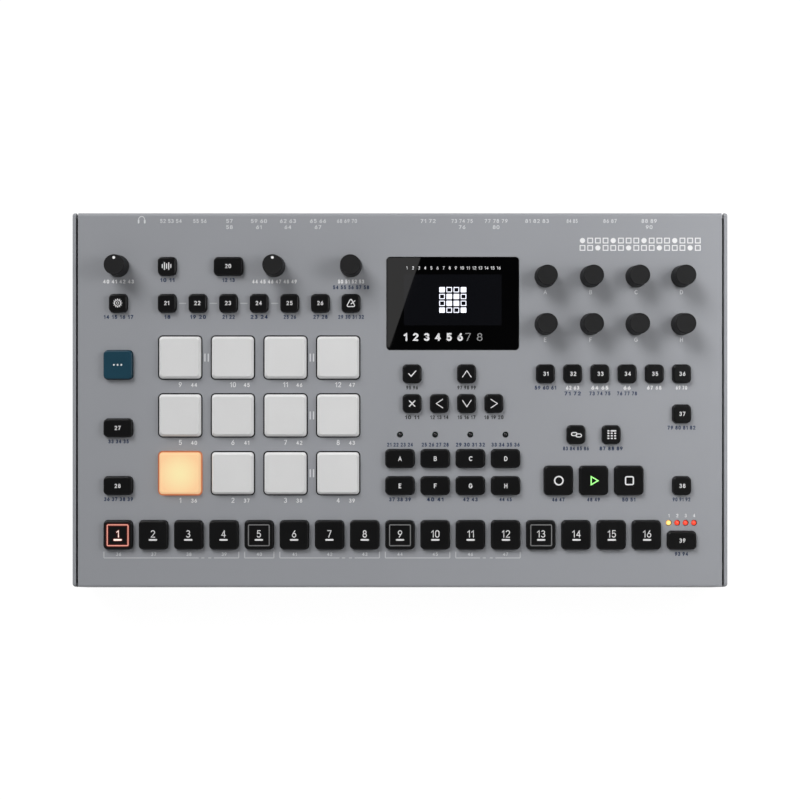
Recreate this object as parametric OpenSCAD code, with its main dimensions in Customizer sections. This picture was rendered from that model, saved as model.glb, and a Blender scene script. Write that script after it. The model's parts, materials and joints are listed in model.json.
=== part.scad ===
// Desktop drum machine: a folded steel case with a sloping control panel, rubber pads, sprung keys,
// rotary knobs and a display, with its circuit boards, sockets, feet and screws.
// Millimetres. +X right, +Y towards the sockets, +Z up. The feet stand on z = 0.
// The panel has its own frame: x along the case, v up the slope, n out of its face.

/* [Case] */
// Width over the side plates
case_w = 385; // [376:1:400]
// Depth from the front wall to the rear lip
case_d = 218; // [214:1:230]
// Height of the panel's front edge above the table
front_h = 40.1; // [38:0.1:46]
// Slope of the control panel, in degrees
panel_tilt = 8; // [6:0.5:10]
// Thickness of the folded steel
sheet_t = 1; // [0.8:0.1:1.4]
// Outside radius of the panel's folds
bend_r = 2; // [1.8:0.1:3]
// Thickness of each side plate
side_t = 1.9; // [1.6:0.1:2.6]
// Dark gap between the panel and each side plate
reveal = 0.95; // [0.6:0.05:1.4]
// Rounding of the side plates' outer upright edges
side_edge_r = 1.8; // [0.6:0.1:2.4]
// Depth of the lip that the panel folds down at the rear
rear_lip = 9; // [6:0.5:14]
// Return flange under the front wall, where the base is screwed on
front_flange = 9; // [8:0.5:14]
// How far the sockets' side of the machine reaches past the case: the power button
rear_reach = 7; // [6:0.5:9]
// Height of the rubber feet
foot_h = 5; // [3.5:0.5:8]
// Radius of the rubber feet
foot_r = 8; // [6:0.5:10]
// Distance of the feet from the case's sides, front and rear
foot_inset = 24; // [18:1:34]

/* [Keys] */
// Side of a large key's hole, and the length of a wide key's hole
key_large = 17.5; // [16.5:0.1:18]
// Side of a small key's hole, and the height of a wide key's hole
key_small = 11.2; // [10.5:0.1:12]
// Corner radius of the key holes
key_corner = 2.7; // [1.5:0.1:3]
// Gap between a key and the edge of its hole
key_gap = 0.3; // [0.2:0.05:0.5]
// Height of a key's top above the panel
key_rise = 2.9; // [2.5:0.1:4]
// Bevel around a key's top
key_bevel = 0.9; // [0.5:0.1:1.2]
// Travel of a key
key_travel = 1.2; // [0.8:0.1:1.5]
// Distance from the case's side to the first and last columns of keys
edge_margin = 27; // [24:0.5:30]
// Row of the sixteen step keys, from the panel's middle
step_row = -79.5; // [-82:0.1:-78]
// Row of the page key
page_row = -82.6; // [-84:0.1:-80]
// Row of the transport keys
transport_row = -47.5; // [-50:0.1:-46]
// Lower row of the bank keys
bank_row = -50.55; // [-52:0.05:-49]
// Distance between the two rows of bank keys
bank_pitch = 15.95; // [14.5:0.05:17]
// Row of the bank lights and of the two keys over the transport
chain_row = -20.6; // [-23:0.1:-19]
// Lower row of the arrow keys
arrow_row = -2.3; // [-3:0.1:0]
// Distance between the two rows of arrow keys
arrow_pitch_v = 17.45; // [15:0.05:18]
// Distance between arrow keys along a row
arrow_pitch = 16.03; // [14.5:0.01:17]
// Place of the first arrow-group key
arrow_first = 7.1; // [6:0.1:9]
// Distance between the parameter keys
param_pitch = 16; // [14.5:0.1:16.2]
// Row of the lone effects key
effects_row = -8.35; // [-10:0.05:-4]
// Row of the function key
function_row = 20.4; // [16:0.1:24]
// Row of the track key
track_row = -16.6; // [-20:0.1:-12]
// Row of the seven mode keys
mode_row = 56.6; // [55:0.1:58]
// Place of the first mode key
mode_first = -136.8; // [-138:0.1:-134]
// Distance between the mode keys
mode_pitch = 18; // [16:0.1:18.4]

/* [Pads] */
// Side of a pad's hole
pad_hole = 26.2; // [25:0.1:27]
// Gap between a pad and the edge of its hole
pad_gap = 0.725; // [0.5:0.025:0.9]
// Corner radius of the pad holes
pad_corner = 2.75; // [1.5:0.05:3.5]
// Height of a pad's top above the panel
pad_rise = 3.3; // [2.5:0.1:4.5]
// Width of the slope around a pad's top
pad_slope = 1.2; // [0.5:0.1:1.8]
// Height of the upright edge at the top of that slope
pad_edge = 0.4; // [0.2:0.1:0.8]
// Travel of a pad
pad_travel = 1; // [0.6:0.1:1.3]
// Place of the first column of pads
pad_first = -129.2; // [-131:0.1:-126]
// Distance between columns of pads
pad_pitch = 30.95; // [29:0.05:32]
// Distance between rows of pads
pad_pitch_v = 34; // [30:0.1:35]
// Top row of pads
pad_row = 24.7; // [23:0.1:27]

/* [Knobs] */
// Height of a knob's top above the panel
knob_h = 15; // [12:0.1:15.5]
// Radius of a knob at its foot
knob_r = 6.5; // [5.6:0.05:7]
// Radius of a knob near its top
knob_top_r = 5.9; // [5.2:0.05:6.4]
// Radius of the knob shafts
shaft_r = 3; // [2.6:0.1:3.1]
// Running clearance of a shaft in its bush
shaft_gap = 0.05; // [0.03:0.01:0.09]
// Row of the upper four data knobs
data_row = 72.3; // [71:0.1:75]
// Distance between the two rows of data knobs
data_pitch_v = 28; // [25:0.1:28.5]
// Distance between data knobs along a row
data_pitch = 26.7; // [24:0.1:27]
// Row of the three left knobs and of the keys between them
top_row = 78.3; // [76:0.1:80]

/* [Display] */
// Width of the display window
glass_w = 77.7; // [74:0.1:79]
// Height of the display window along the slope
glass_d = 54.5; // [50:0.1:56]
// Share of the free room beside the display window that lies on its left
glass_share = 0.575; // [0.45:0.001:0.65]
// Place of the display window's middle up the slope
glass_row = 56.5; // [55.5:0.1:58]
// Corner radius of the display window
glass_corner = 2; // [1:0.1:4]
// Gap around the display window
glass_gap = 0.25; // [0.15:0.05:0.4]
// Width of the lit screen
screen_w = 57.4; // [50:0.1:60]
// Height of the lit screen
screen_d = 29.9; // [26:0.1:32]

/* [Boards] */
// Thickness of the circuit boards
board_t = 1.6; // [1.2:0.1:2]
// Height of a key switch's housing
switch_h = 5; // [4.6:0.1:6]
// Side of a key switch's housing
switch_w = 6; // [5.4:0.1:7]
// Radius of a key's stem
stem_r = 1.7; // [1.4:0.1:2]
// Height of the case floor's pillars under the main board
pillar_h = 6; // [5:0.5:8]
// Side of a knob's encoder or potentiometer housing
encoder_w = 12; // [11:0.5:13]

/* [Sockets] */
// Radius of an audio jack's bore, for a 6.35 mm plug
jack_r = 3.25; // [3.2:0.05:3.4]
// Radius of the lead-in through an audio jack's threaded nose
jack_lead_r = 3.5; // [3.5:0.05:3.7]
// Outside radius of an audio jack's threaded nose
nose_r = 4.5; // [4.2:0.1:4.8]
// Distance between audio jacks along the row
jack_pitch = 17.25; // [17:0.05:17.8]
// Place of the last audio jack towards the middle
jack_last = -31.2; // [-33:0.1:-30]
// Width of a jack housing
jack_w = 15; // [14:0.1:15.6]
// Height of a jack housing, and the distance between stacked jacks
jack_h = 15; // [14:0.1:16]
// Depth of a jack housing
jack_d = 24; // [20:0.5:28]
// Distance between the round digital sockets
din_pitch = 20; // [19:0.1:21]
// Place of the first round digital socket
din_first = 16.5; // [14:0.5:18]
// Radius of a round digital socket's rim
din_r = 7.5; // [7.3:0.1:7.8]
// Place of the two control jacks
control_x = 80.6; // [79.6:0.1:82]
// Place of the square data socket
usb_x = 101.2; // [99:0.1:103]
// Place of the power inlet
inlet_x = 123.5; // [120:0.5:126]
// Place of the power button
power_x = 146.5; // [142:0.5:150]
// Radius of the power button
power_r = 4.2; // [3.8:0.1:4.6]
// Travel of the power button
power_travel = 3; // [2:0.1:3.4]

/* [Mounting] */
// Side of the square of threaded holes in the base
mount_square = 100; // [75:25:100]
// Radius of those holes
mount_hole_r = 2.1; // [1.6:0.1:2.6]

/* [Hidden] */

round_fn = 48;      // facets of plain round parts
corner_fn = 24;     // facets of rounded corners
cap_fn = 12;        // facets of the rounded corners of key caps
cut = 1;            // how far a cutting shape runs past a face
solder_gap = 0.05;  // gap between parts that solder or a press holds on one board
slip = 0.15;        // loose fit between assembled pieces

// Case
y_front = -(case_d + rear_reach) / 2;
y_rear = y_front + case_d;
y_mid = (y_front + y_rear) / 2;
base_top = foot_h + sheet_t;
panel_w = case_w - 2 * (side_t + reveal);
panel_mid_z = front_h + case_d / 2 * tan(panel_tilt);
panel_half = case_d / 2 / cos(panel_tilt);
lip_z = front_h + case_d * tan(panel_tilt) - rear_lip;
wall_x = case_w / 2 - side_t;                       // inner face of a side plate
wall_y = y_rear - sheet_t;                          // outer face of the rear panel
rear_in = wall_y - sheet_t;                         // inner face of the rear panel

// Panel levels, counted along n from its face
under = -sheet_t;
flange_t = 1;
flange_gap = 0.5;
flange_over = 0.5;                                  // a key's flange beyond its hole
cap_foot = under - flange_gap - flange_t;
press_gap = 0.4;                                    // left under a fully pressed key
switch_top = cap_foot - key_travel - press_gap;
stem_in = 1.3;                                      // a stem in its switch at rest
board_top = switch_top - switch_h;
board_under = board_top - board_t;
stud_r = 2.5;
stud_hole = 5.5;
screw_in = 5;                                       // a board screw past its board
screw_r = 1.45;                                     // M3 shank
screw_hole = screw_r + 0.1;
head_r = 2.75;
head_t = 1.8;
knob_lift = 0.8;                                    // gap under a knob
encoder_h = 6;
bush_r = shaft_r + 0.6;
bush_top = 0.3;

// Columns and rows of the panel. Their places are given for a case of layout_w between its outer
// columns and layout_d from front to rear, and they spread out with the real one.
layout_w = 331;
layout_d = 218;
along = (case_w - 2 * edge_margin) / layout_w;
upward = case_d / layout_d;
function spread(places) = [for (p = places) [p.x * along, p.y * upward]];
function col(k) = (k / 16 - 0.5) * layout_w;
transport_cols = [12.5, 13.5, 14.5];
mode_last = mode_first + 6 * mode_pitch;
param_row = arrow_row + arrow_pitch_v;
step_places = spread([for (i = [0:15]) [col(i), step_row]]);
transport_places = spread([for (k = transport_cols) [col(k), transport_row]]);
function_places = spread([[col(0), function_row]]);
mode_small = spread(concat(
    [for (j = [0:6]) [mode_first + mode_pitch * j, mode_row]],
    [[mode_first, top_row], [col(0), mode_row]]
));
mode_wide = spread([[mode_first + 2 * mode_pitch, top_row], [col(0), track_row], [col(0), bank_row]]);
arrow_small = spread([for (p = [[0, 1], [2, 1], [0, 0], [1, 0], [2, 0], [3, 0]])
    [arrow_first + arrow_pitch * p.x, arrow_row + arrow_pitch_v * p.y]]);
bank_wide = spread([for (j = [0:7]) [col(8 + j % 4), bank_row + bank_pitch * (j < 4 ? 1 : 0)]]);
param_small = spread(concat(
    [for (j = [0:5]) [col(16) - param_pitch * (5 - j), param_row]],
    [[col(16), effects_row], [col(16), bank_row], [col(13), chain_row], [col(14), chain_row]]
));
param_wide = spread([[col(16), page_row]]);
large_places = concat(step_places, transport_places, function_places);
wide_places = concat(mode_wide, bank_wide, param_wide);
small_places = concat(mode_small, arrow_small, param_small);
all_keys = concat(large_places, wide_places, small_places);

pad_places = spread([for (i = [0:11])
    [pad_first + pad_pitch * (i % 4), pad_row - pad_pitch_v * (2 - floor(i / 4))]]);
pads_mid = (pad_places[0] + pad_places[11]) / 2;
pads_edge = 3;                                      // the sensor sheet beyond the pads' holes
pads_size = pad_places[11] - pad_places[0] + (pad_hole + 2 * pads_edge) * [1, 1];

left_knobs = spread([[col(0), top_row], [mode_first + 3.5 * mode_pitch, top_row], [mode_last, top_row]]);
data_knobs = spread([for (i = [0:7])
    [col(16) - data_pitch * (3 - i % 4), data_row - data_pitch_v * floor(i / 4)]]);
all_knobs = concat(left_knobs, data_knobs);

// The display window stands between the track level knob and the first data knob
glass_room = data_knobs[0].x - left_knobs[2].x - glass_w;
glass_x = left_knobs[2].x + glass_room * glass_share + glass_w / 2;
glass_v = glass_row * upward;
frame_over = 3;                                     // the display's frame beyond its window
frame_t = 3;

led_r = 1.5;
led_hole = 1.8;
led_pitch = 4.95;
page_led_rise = 10.1;                               // the page lights above the page key
led_places = concat(
    spread([for (j = [0:3]) [col(8 + j), chain_row]]),
    [for (j = [0:3]) param_wide[0] + [led_pitch * (j - 1.5), page_led_rise]]
);

// Studs: four near the corners, two over the knobs and keys, one under the arrows, one by the display
stud_x = panel_w / 2 - 8.6;
stud_rows = [92, -60];
stud_cols = [-50, 62, -16];
frame_stud_gap = 5.6;
frame_stud_row = 44.5;
stud_v = stud_rows * upward;
stud_places = concat(
    [for (x = [-stud_x, stud_x], v = stud_v) [x, v]],
    spread([[stud_cols[0], stud_rows[0]], [stud_cols[1], stud_rows[0]], [stud_cols[2], stud_rows[1]]]),
    [[glass_x - glass_w / 2 - frame_over - frame_stud_gap, frame_stud_row * upward]]
);

// Rear sockets, counted along X and up from the main board
main_z = base_top + pillar_h;                       // underside of the main board
main_top = main_z + board_t + solder_gap;
jack_z = main_top + jack_h / 2;
jack_cols = [for (j = [0:7]) jack_last - jack_pitch * j];
jack_places = concat(
    [for (x = jack_cols) [x, jack_z]],
    [for (j = [0:6]) [jack_cols[j], jack_z + jack_h + solder_gap]],
    [[control_x, jack_z], [control_x, jack_z + jack_h + solder_gap]]
);
nose_gap = 0.3;
nose_end = wall_y + 3.4;
nut_r = 6.4;
nut_t = 2.2;
jack_depth = 18;
din_w = 18;
din_d = 13;
din_z = main_top + din_w / 2;
usb_w = 12;
usb_h = 11;
usb_d = 16;
usb_rim = 1;                                        // the rear panel's edge over the socket's shell
usb_shell = 0.8;
usb_tongue = [5.6, 3.2];
inlet_w = 9;
inlet_h = 11;
inlet_d = 14;
power_w = 12;
power_z = main_top + power_w / 2;
button_back = rear_in - 0.5;
switch_face = button_back - power_travel - 1;       // the front of the power switch's housing
power_stem_r = 2;
power_stem_in = 4;                                  // its stem in the housing at rest

pillar_r = 3;
board_x = case_w / 2 - 16;
board_back = rear_in - sheet_t - 0.5;
board_front = y_mid - 62;
pillar_cols = [-board_x + 6, -60, 60, board_x - 6];
pillar_places = [for (x = pillar_cols, y = [board_front + 6, board_back - 32]) [x, y]];
base_screws = [for (i = [0:4]) (i - 2) * (case_w / 2 - 16) / 2];
side_screws = [for (t = [0.15, 0.5, 0.85]) y_front + t * case_d];
side_screw_z = base_top + 9;
flange_screw = 4.5;                                 // the front screws from their flange's edge
rear_screw_z = base_top + 3.5;
small_screw_r = 1.2;
small_head_r = 2.3;
small_head_t = 1.4;
small_hole = small_screw_r + 0.1;                   // threaded side
small_pass = small_screw_r + 0.3;                   // the side that it passes through
rear_flange = 6;
flange_x = wall_x - sheet_t;                        // inner face of the base's side flanges
bush_places = [for (x = [-1, 1], y = [-1, 1]) [x * mount_square / 2, y_mid + y * mount_square / 2]];
bush_h = sheet_t + 3;                               // threaded bushes in the base
side_drop = 1.2;                                    // the side flanges stay this far under the panel

// ---- shapes ----

module on_panel() {
    translate([0, y_mid, panel_mid_z]) rotate([panel_tilt, 0, 0]) children();
}

// Points of an arc in a plane, from angle a to angle b
function arc(centre, r, a, b, steps = 6) =
    [for (i = [0:steps]) centre + r * [cos(a + (b - a) * i / steps), sin(a + (b - a) * i / steps)]];

// A rectangle with round corners, centred
module rounded(w, d, r, facets = corner_fn) {
    square([w - 2 * r, d], center = true);
    square([w, d - 2 * r], center = true);
    for (x = [-1, 1], y = [-1, 1])
        translate([x * (w / 2 - r), y * (d / 2 - r)]) circle(r, $fn = facets);
}

module block(w, d, r, z0, z1, facets = corner_fn) {
    translate([0, 0, z0]) linear_extrude(z1 - z0) rounded(w, d, r, facets);
}

// Extrudes a profile drawn in the YZ plane from x0 to x1
module across(x0, x1) {
    translate([x0, 0, 0]) rotate([90, 0, 90]) linear_extrude(x1 - x0) children();
}

// Runs a cylinder along +Y from y0 to y1
module rod_y(x, z, y0, y1, r, sides = round_fn) {
    translate([x, y0, z]) rotate([-90, 0, 0]) cylinder(r = r, h = y1 - y0, $fn = sides);
}

module box(x0, x1, y0, y1, z0, z1) {
    translate([x0, y0, z0]) cube([x1 - x0, y1 - y0, z1 - z0]);
}

// The panel's folds, seen from the side: r is the radius of the surface that is drawn
function fold_centre(y) = [y, front_h + (y - y_front) * tan(panel_tilt) - bend_r / cos(panel_tilt)];
function front_fold(r, a, b) = arc(fold_centre(y_front + bend_r), r, a, b);
function rear_fold(r, a, b) = arc(fold_centre(y_rear - bend_r), r, a, b);
function foot_fold(r, a, b) = arc([y_front + bend_r, base_top + bend_r], r, a, b);

module panel_profile() {
    inner = bend_r - sheet_t;
    up = 90 + panel_tilt;
    polygon(concat(
        [[y_front + front_flange, base_top]],
        foot_fold(bend_r, 270, 180), front_fold(bend_r, 180, up), rear_fold(bend_r, up, 0),
        [[y_rear, lip_z], [wall_y, lip_z]],
        rear_fold(inner, 0, up), front_fold(inner, up, 180), foot_fold(inner, 180, 270),
        [[y_front + front_flange, base_top + sheet_t]]
    ));
}

// A side's outline, lowered by drop from the panel's face and set in from the front and rear
module side_profile(drop, inset, z0) {
    lower = drop / cos(panel_tilt);
    up = 90 + panel_tilt;
    r = bend_r;
    top_z = front_h - lower - r / cos(panel_tilt);
    front = [y_front + inset + r, top_z + (inset + r) * tan(panel_tilt)];
    rear = [y_rear - inset - r, top_z + (case_d - inset - r) * tan(panel_tilt)];
    polygon(concat(
        [[y_front + inset, z0]], arc(front, r, 180, up), arc(rear, r, up, 0), [[y_rear - inset, z0]]
    ));
}

// ---- case ----

module top_panel() {
    color([0.58, 0.58, 0.6]) difference() {
        union() {
            across(-panel_w / 2, panel_w / 2) panel_profile();
            on_panel() for (p = stud_places) translate([p.x, p.y, board_top])
                cylinder(r = stud_r, h = under - board_top + sheet_t / 4, $fn = round_fn);
        }
        on_panel() {
            translate([0, 0, under - cut]) linear_extrude(sheet_t + 2 * cut) {
                for (p = large_places) translate(p) rounded(key_large, key_large, key_corner);
                for (p = wide_places) translate(p) rounded(key_large, key_small, key_corner);
                for (p = small_places) translate(p) rounded(key_small, key_small, key_corner);
                for (p = pad_places) translate(p) rounded(pad_hole, pad_hole, pad_corner);
                for (p = all_knobs) translate(p) circle(bush_r + slip, $fn = round_fn);
                for (p = led_places) translate(p) circle(led_hole, $fn = corner_fn);
                translate([glass_x, glass_v])
                    rounded(glass_w + 2 * glass_gap, glass_d + 2 * glass_gap, glass_corner + glass_gap);
            }
            for (p = stud_places)
                translate([p.x, p.y, board_top - cut])
                    cylinder(r = screw_hole, h = cut + stud_hole, $fn = corner_fn);
        }
        for (x = base_screws)
            translate([x, y_front + front_flange - flange_screw, base_top - cut])
                cylinder(r = small_hole, h = sheet_t + 2 * cut, $fn = corner_fn);
        for (side = [-1, 1])                        // room for the base's side flanges
            mirror([side < 0 ? 1 : 0, 0, 0])
                box(flange_x - slip, wall_x, y_front + 1.5 * sheet_t, y_front + front_flange + cut,
                    base_top - cut, base_top + sheet_t + cut);
    }
}

module side_panels() {
    color([0.5, 0.5, 0.52]) for (side = [-1, 1]) difference() {
        intersection() {
            across(side > 0 ? wall_x : -wall_x - side_t, side > 0 ? wall_x + side_t : -wall_x)
                side_profile(0, 0, foot_h);
            translate([0, y_mid, 0]) linear_extrude(3 * front_h)
                rounded(case_w, case_d, side_edge_r);
        }
        for (y = side_screws) translate([side * (wall_x - cut), y, side_screw_z]) rotate([0, side * 90, 0])
            cylinder(r = small_hole, h = cut + side_t * 0.7, $fn = corner_fn);
    }
}

module base_chassis() {
    color([0.45, 0.45, 0.47]) difference() {
        union() {
            box(-wall_x, wall_x, y_front, rear_in, foot_h, base_top);
            box(-flange_x, flange_x, rear_in - sheet_t, rear_in, base_top, base_top + rear_flange);
            for (side = [-1, 1]) mirror([side < 0 ? 1 : 0, 0, 0]) across(flange_x, wall_x)
                side_profile(sheet_t + side_drop, 2 * sheet_t + slip, foot_h);
            for (p = pillar_places) translate([p.x, p.y, foot_h])
                cylinder(r = pillar_r, h = main_z - foot_h, $fn = round_fn);
            for (p = bush_places) translate([p.x, p.y, foot_h])
                cylinder(r = mount_hole_r + 2, h = bush_h, $fn = round_fn);
        }
        for (p = pillar_places) translate([p.x, p.y, main_z - screw_in])
            cylinder(r = screw_hole, h = screw_in + cut, $fn = corner_fn);
        for (p = bush_places) translate([p.x, p.y, foot_h - cut])
            cylinder(r = mount_hole_r, h = bush_h + 2 * cut, $fn = round_fn);
        for (x = base_screws) {
            translate([x, y_front + front_flange - flange_screw, foot_h - cut])
                cylinder(r = small_pass, h = sheet_t + 2 * cut, $fn = corner_fn);
            rod_y(x, rear_screw_z, rear_in - sheet_t - cut, rear_in + cut, small_hole, corner_fn);
        }
        for (side = [-1, 1], y = side_screws) translate([side * (flange_x - cut), y, side_screw_z])
            rotate([0, side * 90, 0]) cylinder(r = small_pass, h = sheet_t + 2 * cut, $fn = corner_fn);
    }
}

module rear_panel() {
    top_z = lip_z + rear_lip - 2 * bend_r;
    color([0.45, 0.45, 0.47]) difference() {
        box(-flange_x + slip, flange_x - slip, rear_in, wall_y, base_top + slip, top_z);
        for (p = jack_places) rod_y(p.x, p.y, rear_in - cut, wall_y + cut, nose_r + nose_gap);
        for (i = [0:2]) rod_y(din_first + din_pitch * i, din_z, rear_in - cut, wall_y + cut, din_r);
        box(usb_x - usb_w / 2 + usb_rim, usb_x + usb_w / 2 - usb_rim, rear_in - cut, wall_y + cut,
            main_top + usb_rim, main_top + usb_h - usb_rim);
        rod_y(inlet_x, main_top + inlet_h / 2, rear_in - cut, wall_y + cut, inlet_w / 2 - 0.5);
        rod_y(power_x, power_z, rear_in - cut, wall_y + cut, power_r + 0.4);
        for (x = base_screws)
            rod_y(x, rear_screw_z, rear_in - cut, wall_y + cut, small_pass, corner_fn);
    }
}

module rubber_feet() {
    color([0.08, 0.08, 0.08])
    for (x = [-1, 1], y = [y_front + foot_inset, y_rear - foot_inset])
        translate([x * (case_w / 2 - foot_inset), y, 0])
            cylinder(r1 = foot_r - 1, r2 = foot_r, h = foot_h, $fn = round_fn);
}

// A screw with its head on z = 0 and its shank along +Z
module screw(r, length, head, thick) {
    translate([0, 0, -thick]) cylinder(r = head, h = thick, $fn = corner_fn);
    translate([0, 0, -thick / 2]) cylinder(r = r, h = length + thick / 2, $fn = corner_fn);
}

module small_screw(length) { screw(small_screw_r, length, small_head_r, small_head_t); }

module fasteners() {
    color([0.75, 0.75, 0.77]) {
        for (x = base_screws) {
            translate([x, y_front + front_flange - flange_screw, foot_h]) small_screw(2 * sheet_t + 2);
            translate([x, wall_y, rear_screw_z]) rotate([90, 0, 0]) small_screw(2 * sheet_t + 2);
        }
        for (side = [-1, 1], y = side_screws) translate([side * flange_x, y, side_screw_z])
            rotate([0, side * 90, 0]) small_screw(sheet_t + side_t * 0.6);
        on_panel() for (p = stud_places) translate([p.x, p.y, board_under])
            screw(screw_r, board_t + screw_in, head_r, head_t);
        for (p = pillar_places) translate([p.x, p.y, main_z + board_t]) rotate([180, 0, 0])
            screw(screw_r, board_t + screw_in - 0.5, head_r, head_t);
        for (p = jack_places) difference() {
            rod_y(p.x, p.y, wall_y, wall_y + nut_t, nut_r, 6);
            rod_y(p.x, p.y, wall_y - cut, wall_y + nut_t + cut, nose_r + solder_gap);
        }
    }
}

// ---- controls ----

// A sprung key in a w by d hole: cap, retaining flange and stem, as one moulding
module key(p, w, d) {
    cap_w = w - 2 * key_gap;
    cap_d = d - 2 * key_gap;
    translate(p) {
        hull() {
            block(cap_w, cap_d, key_corner - key_gap, cap_foot, key_rise - key_bevel, cap_fn);
            block(cap_w - 2 * key_bevel, cap_d - 2 * key_bevel, key_corner - key_gap,
                  key_rise - key_bevel, key_rise, cap_fn);
        }
        block(w + 2 * flange_over, d + 2 * flange_over, key_corner,
              cap_foot, cap_foot + flange_t, cap_fn);
        translate([0, 0, switch_top - stem_in])
            cylinder(r = stem_r, h = cap_foot - switch_top + stem_in + flange_t / 2, $fn = corner_fn);
    }
}

module keys(large, wide, small) {
    on_panel() {
        for (p = large) key(p, key_large, key_large);
        for (p = wide) key(p, key_large, key_small);
        for (p = small) key(p, key_small, key_small);
    }
}

module step_key(i) { color([0.08, 0.08, 0.09]) keys([step_places[i]], [], []); }
module transport_key(i) { color([0.08, 0.08, 0.09]) keys([transport_places[i]], [], []); }
module function_key() { color([0.13, 0.24, 0.3]) keys(function_places, [], []); }
module mode_keys() { color([0.08, 0.08, 0.09]) keys([], mode_wide, mode_small); }
module navigation_keys() { color([0.08, 0.08, 0.09]) keys([], [], arrow_small); }
module bank_keys() { color([0.08, 0.08, 0.09]) keys([], bank_wide, []); }
module parameter_keys() { color([0.08, 0.08, 0.09]) keys([], param_wide, param_small); }

// A rubber pad with a flange that holds it under the panel
module pad(i) {
    side = pad_hole - 2 * pad_gap;
    top = side - 2 * pad_slope;
    corner = pad_corner - pad_gap;
    color([0.85, 0.85, 0.85]) on_panel() translate(pad_places[i]) {
        hull() {
            block(side, side, corner, cap_foot, 0);
            block(top, top, corner, pad_rise - pad_edge, pad_rise);
        }
        block(pad_hole + 2 * flange_over, pad_hole + 2 * flange_over, pad_corner,
              cap_foot, cap_foot + flange_t);
    }
}

// A knob on its shaft: a slightly tapered cap with a rounded top edge
module knob(p) {
    edge = 0.6;
    cap_in = knob_h - 3;
    shaft_foot = board_top + 1.2;
    color([0.13, 0.13, 0.14]) on_panel() translate(p) {
        rotate_extrude($fn = 2 * round_fn) polygon(concat(
            [[shaft_r + solder_gap, knob_lift], [knob_r - 0.3, knob_lift], [knob_r, knob_lift + 0.8]],
            arc([knob_top_r - edge, knob_h - edge], edge, 0, 90),
            [[0, knob_h], [0, cap_in + solder_gap], [shaft_r + solder_gap, cap_in + solder_gap]]
        ));
        translate([0, 0, shaft_foot]) cylinder(r = shaft_r, h = cap_in - shaft_foot, $fn = round_fn);
    }
}

module power_button() {
    color([0.1, 0.1, 0.1]) {
        rod_y(power_x, power_z, button_back, y_rear + rear_reach, power_r);
        rod_y(power_x, power_z, switch_face - power_stem_in, button_back + 1, power_stem_r);
    }
}

// ---- display ----

module display_window() {
    color([0.03, 0.03, 0.04]) on_panel() translate([glass_x, glass_v])
        block(glass_w, glass_d, glass_corner, under, 0.2);
}

module display_module() {
    lift = glass_v + 2.1;                           // the screen sits off the window's middle
    screen_edge = 3;                                // dark edge of the screen's glass
    on_panel() {
        color([0.1, 0.1, 0.1]) difference() {
            translate([glass_x, glass_v])
                block(glass_w + 2 * frame_over, glass_d + 2 * frame_over, glass_corner,
                      under - frame_t, under - solder_gap);
            translate([glass_x, lift])
                block(screen_w + 2 * screen_edge, screen_d + 2 * screen_edge, 1,
                      under - frame_t - cut, under + cut);
        }
        color([0.02, 0.03, 0.05]) translate([glass_x, lift])
            block(screen_w + 2 * (screen_edge - slip), screen_d + 2 * (screen_edge - slip), 0.8,
                  under - frame_t + solder_gap, under - slip);
        color([0.1, 0.3, 0.15]) {
            translate([glass_x, glass_v])
                block(glass_w - 4, glass_d - 4, 1, under - frame_t - board_t, under - frame_t - solder_gap);
            for (x = [-1, 1], y = [-1, 1])
                translate([glass_x + x * (glass_w / 2 - 6), glass_v + y * (glass_d / 2 - 6), board_top])
                    cylinder(r = 2, h = under - frame_t - board_t - board_top - solder_gap, $fn = corner_fn);
        }
    }
}

// ---- boards ----

module key_switch(p) {
    socket_depth = stem_in + key_travel + 0.4;
    translate(p) difference() {
        translate([-switch_w / 2, -switch_w / 2, board_top + solder_gap])
            cube([switch_w, switch_w, switch_h - solder_gap]);
        translate([0, 0, switch_top - socket_depth])
            cylinder(r = stem_r + slip, h = socket_depth + cut, $fn = corner_fn);
    }
}

module encoder(p) {
    body_top = board_top + encoder_h;
    translate(p) difference() {
        union() {
            translate([-encoder_w / 2, -encoder_w / 2, board_top + solder_gap])
                cube([encoder_w, encoder_w, encoder_h - solder_gap]);
            translate([0, 0, body_top - 1]) cylinder(r = bush_r, h = bush_top - body_top + 1, $fn = round_fn);
        }
        translate([0, 0, board_top + 1])
            cylinder(r = shaft_r + shaft_gap, h = bush_top - board_top, $fn = round_fn);
    }
}

module led(p) {
    translate([p.x, p.y, board_top + solder_gap])
        cylinder(r = led_r, h = -board_top - led_r, $fn = corner_fn);
    translate([p.x, p.y, solder_gap - led_r]) sphere(led_r, $fn = corner_fn);
}

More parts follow.
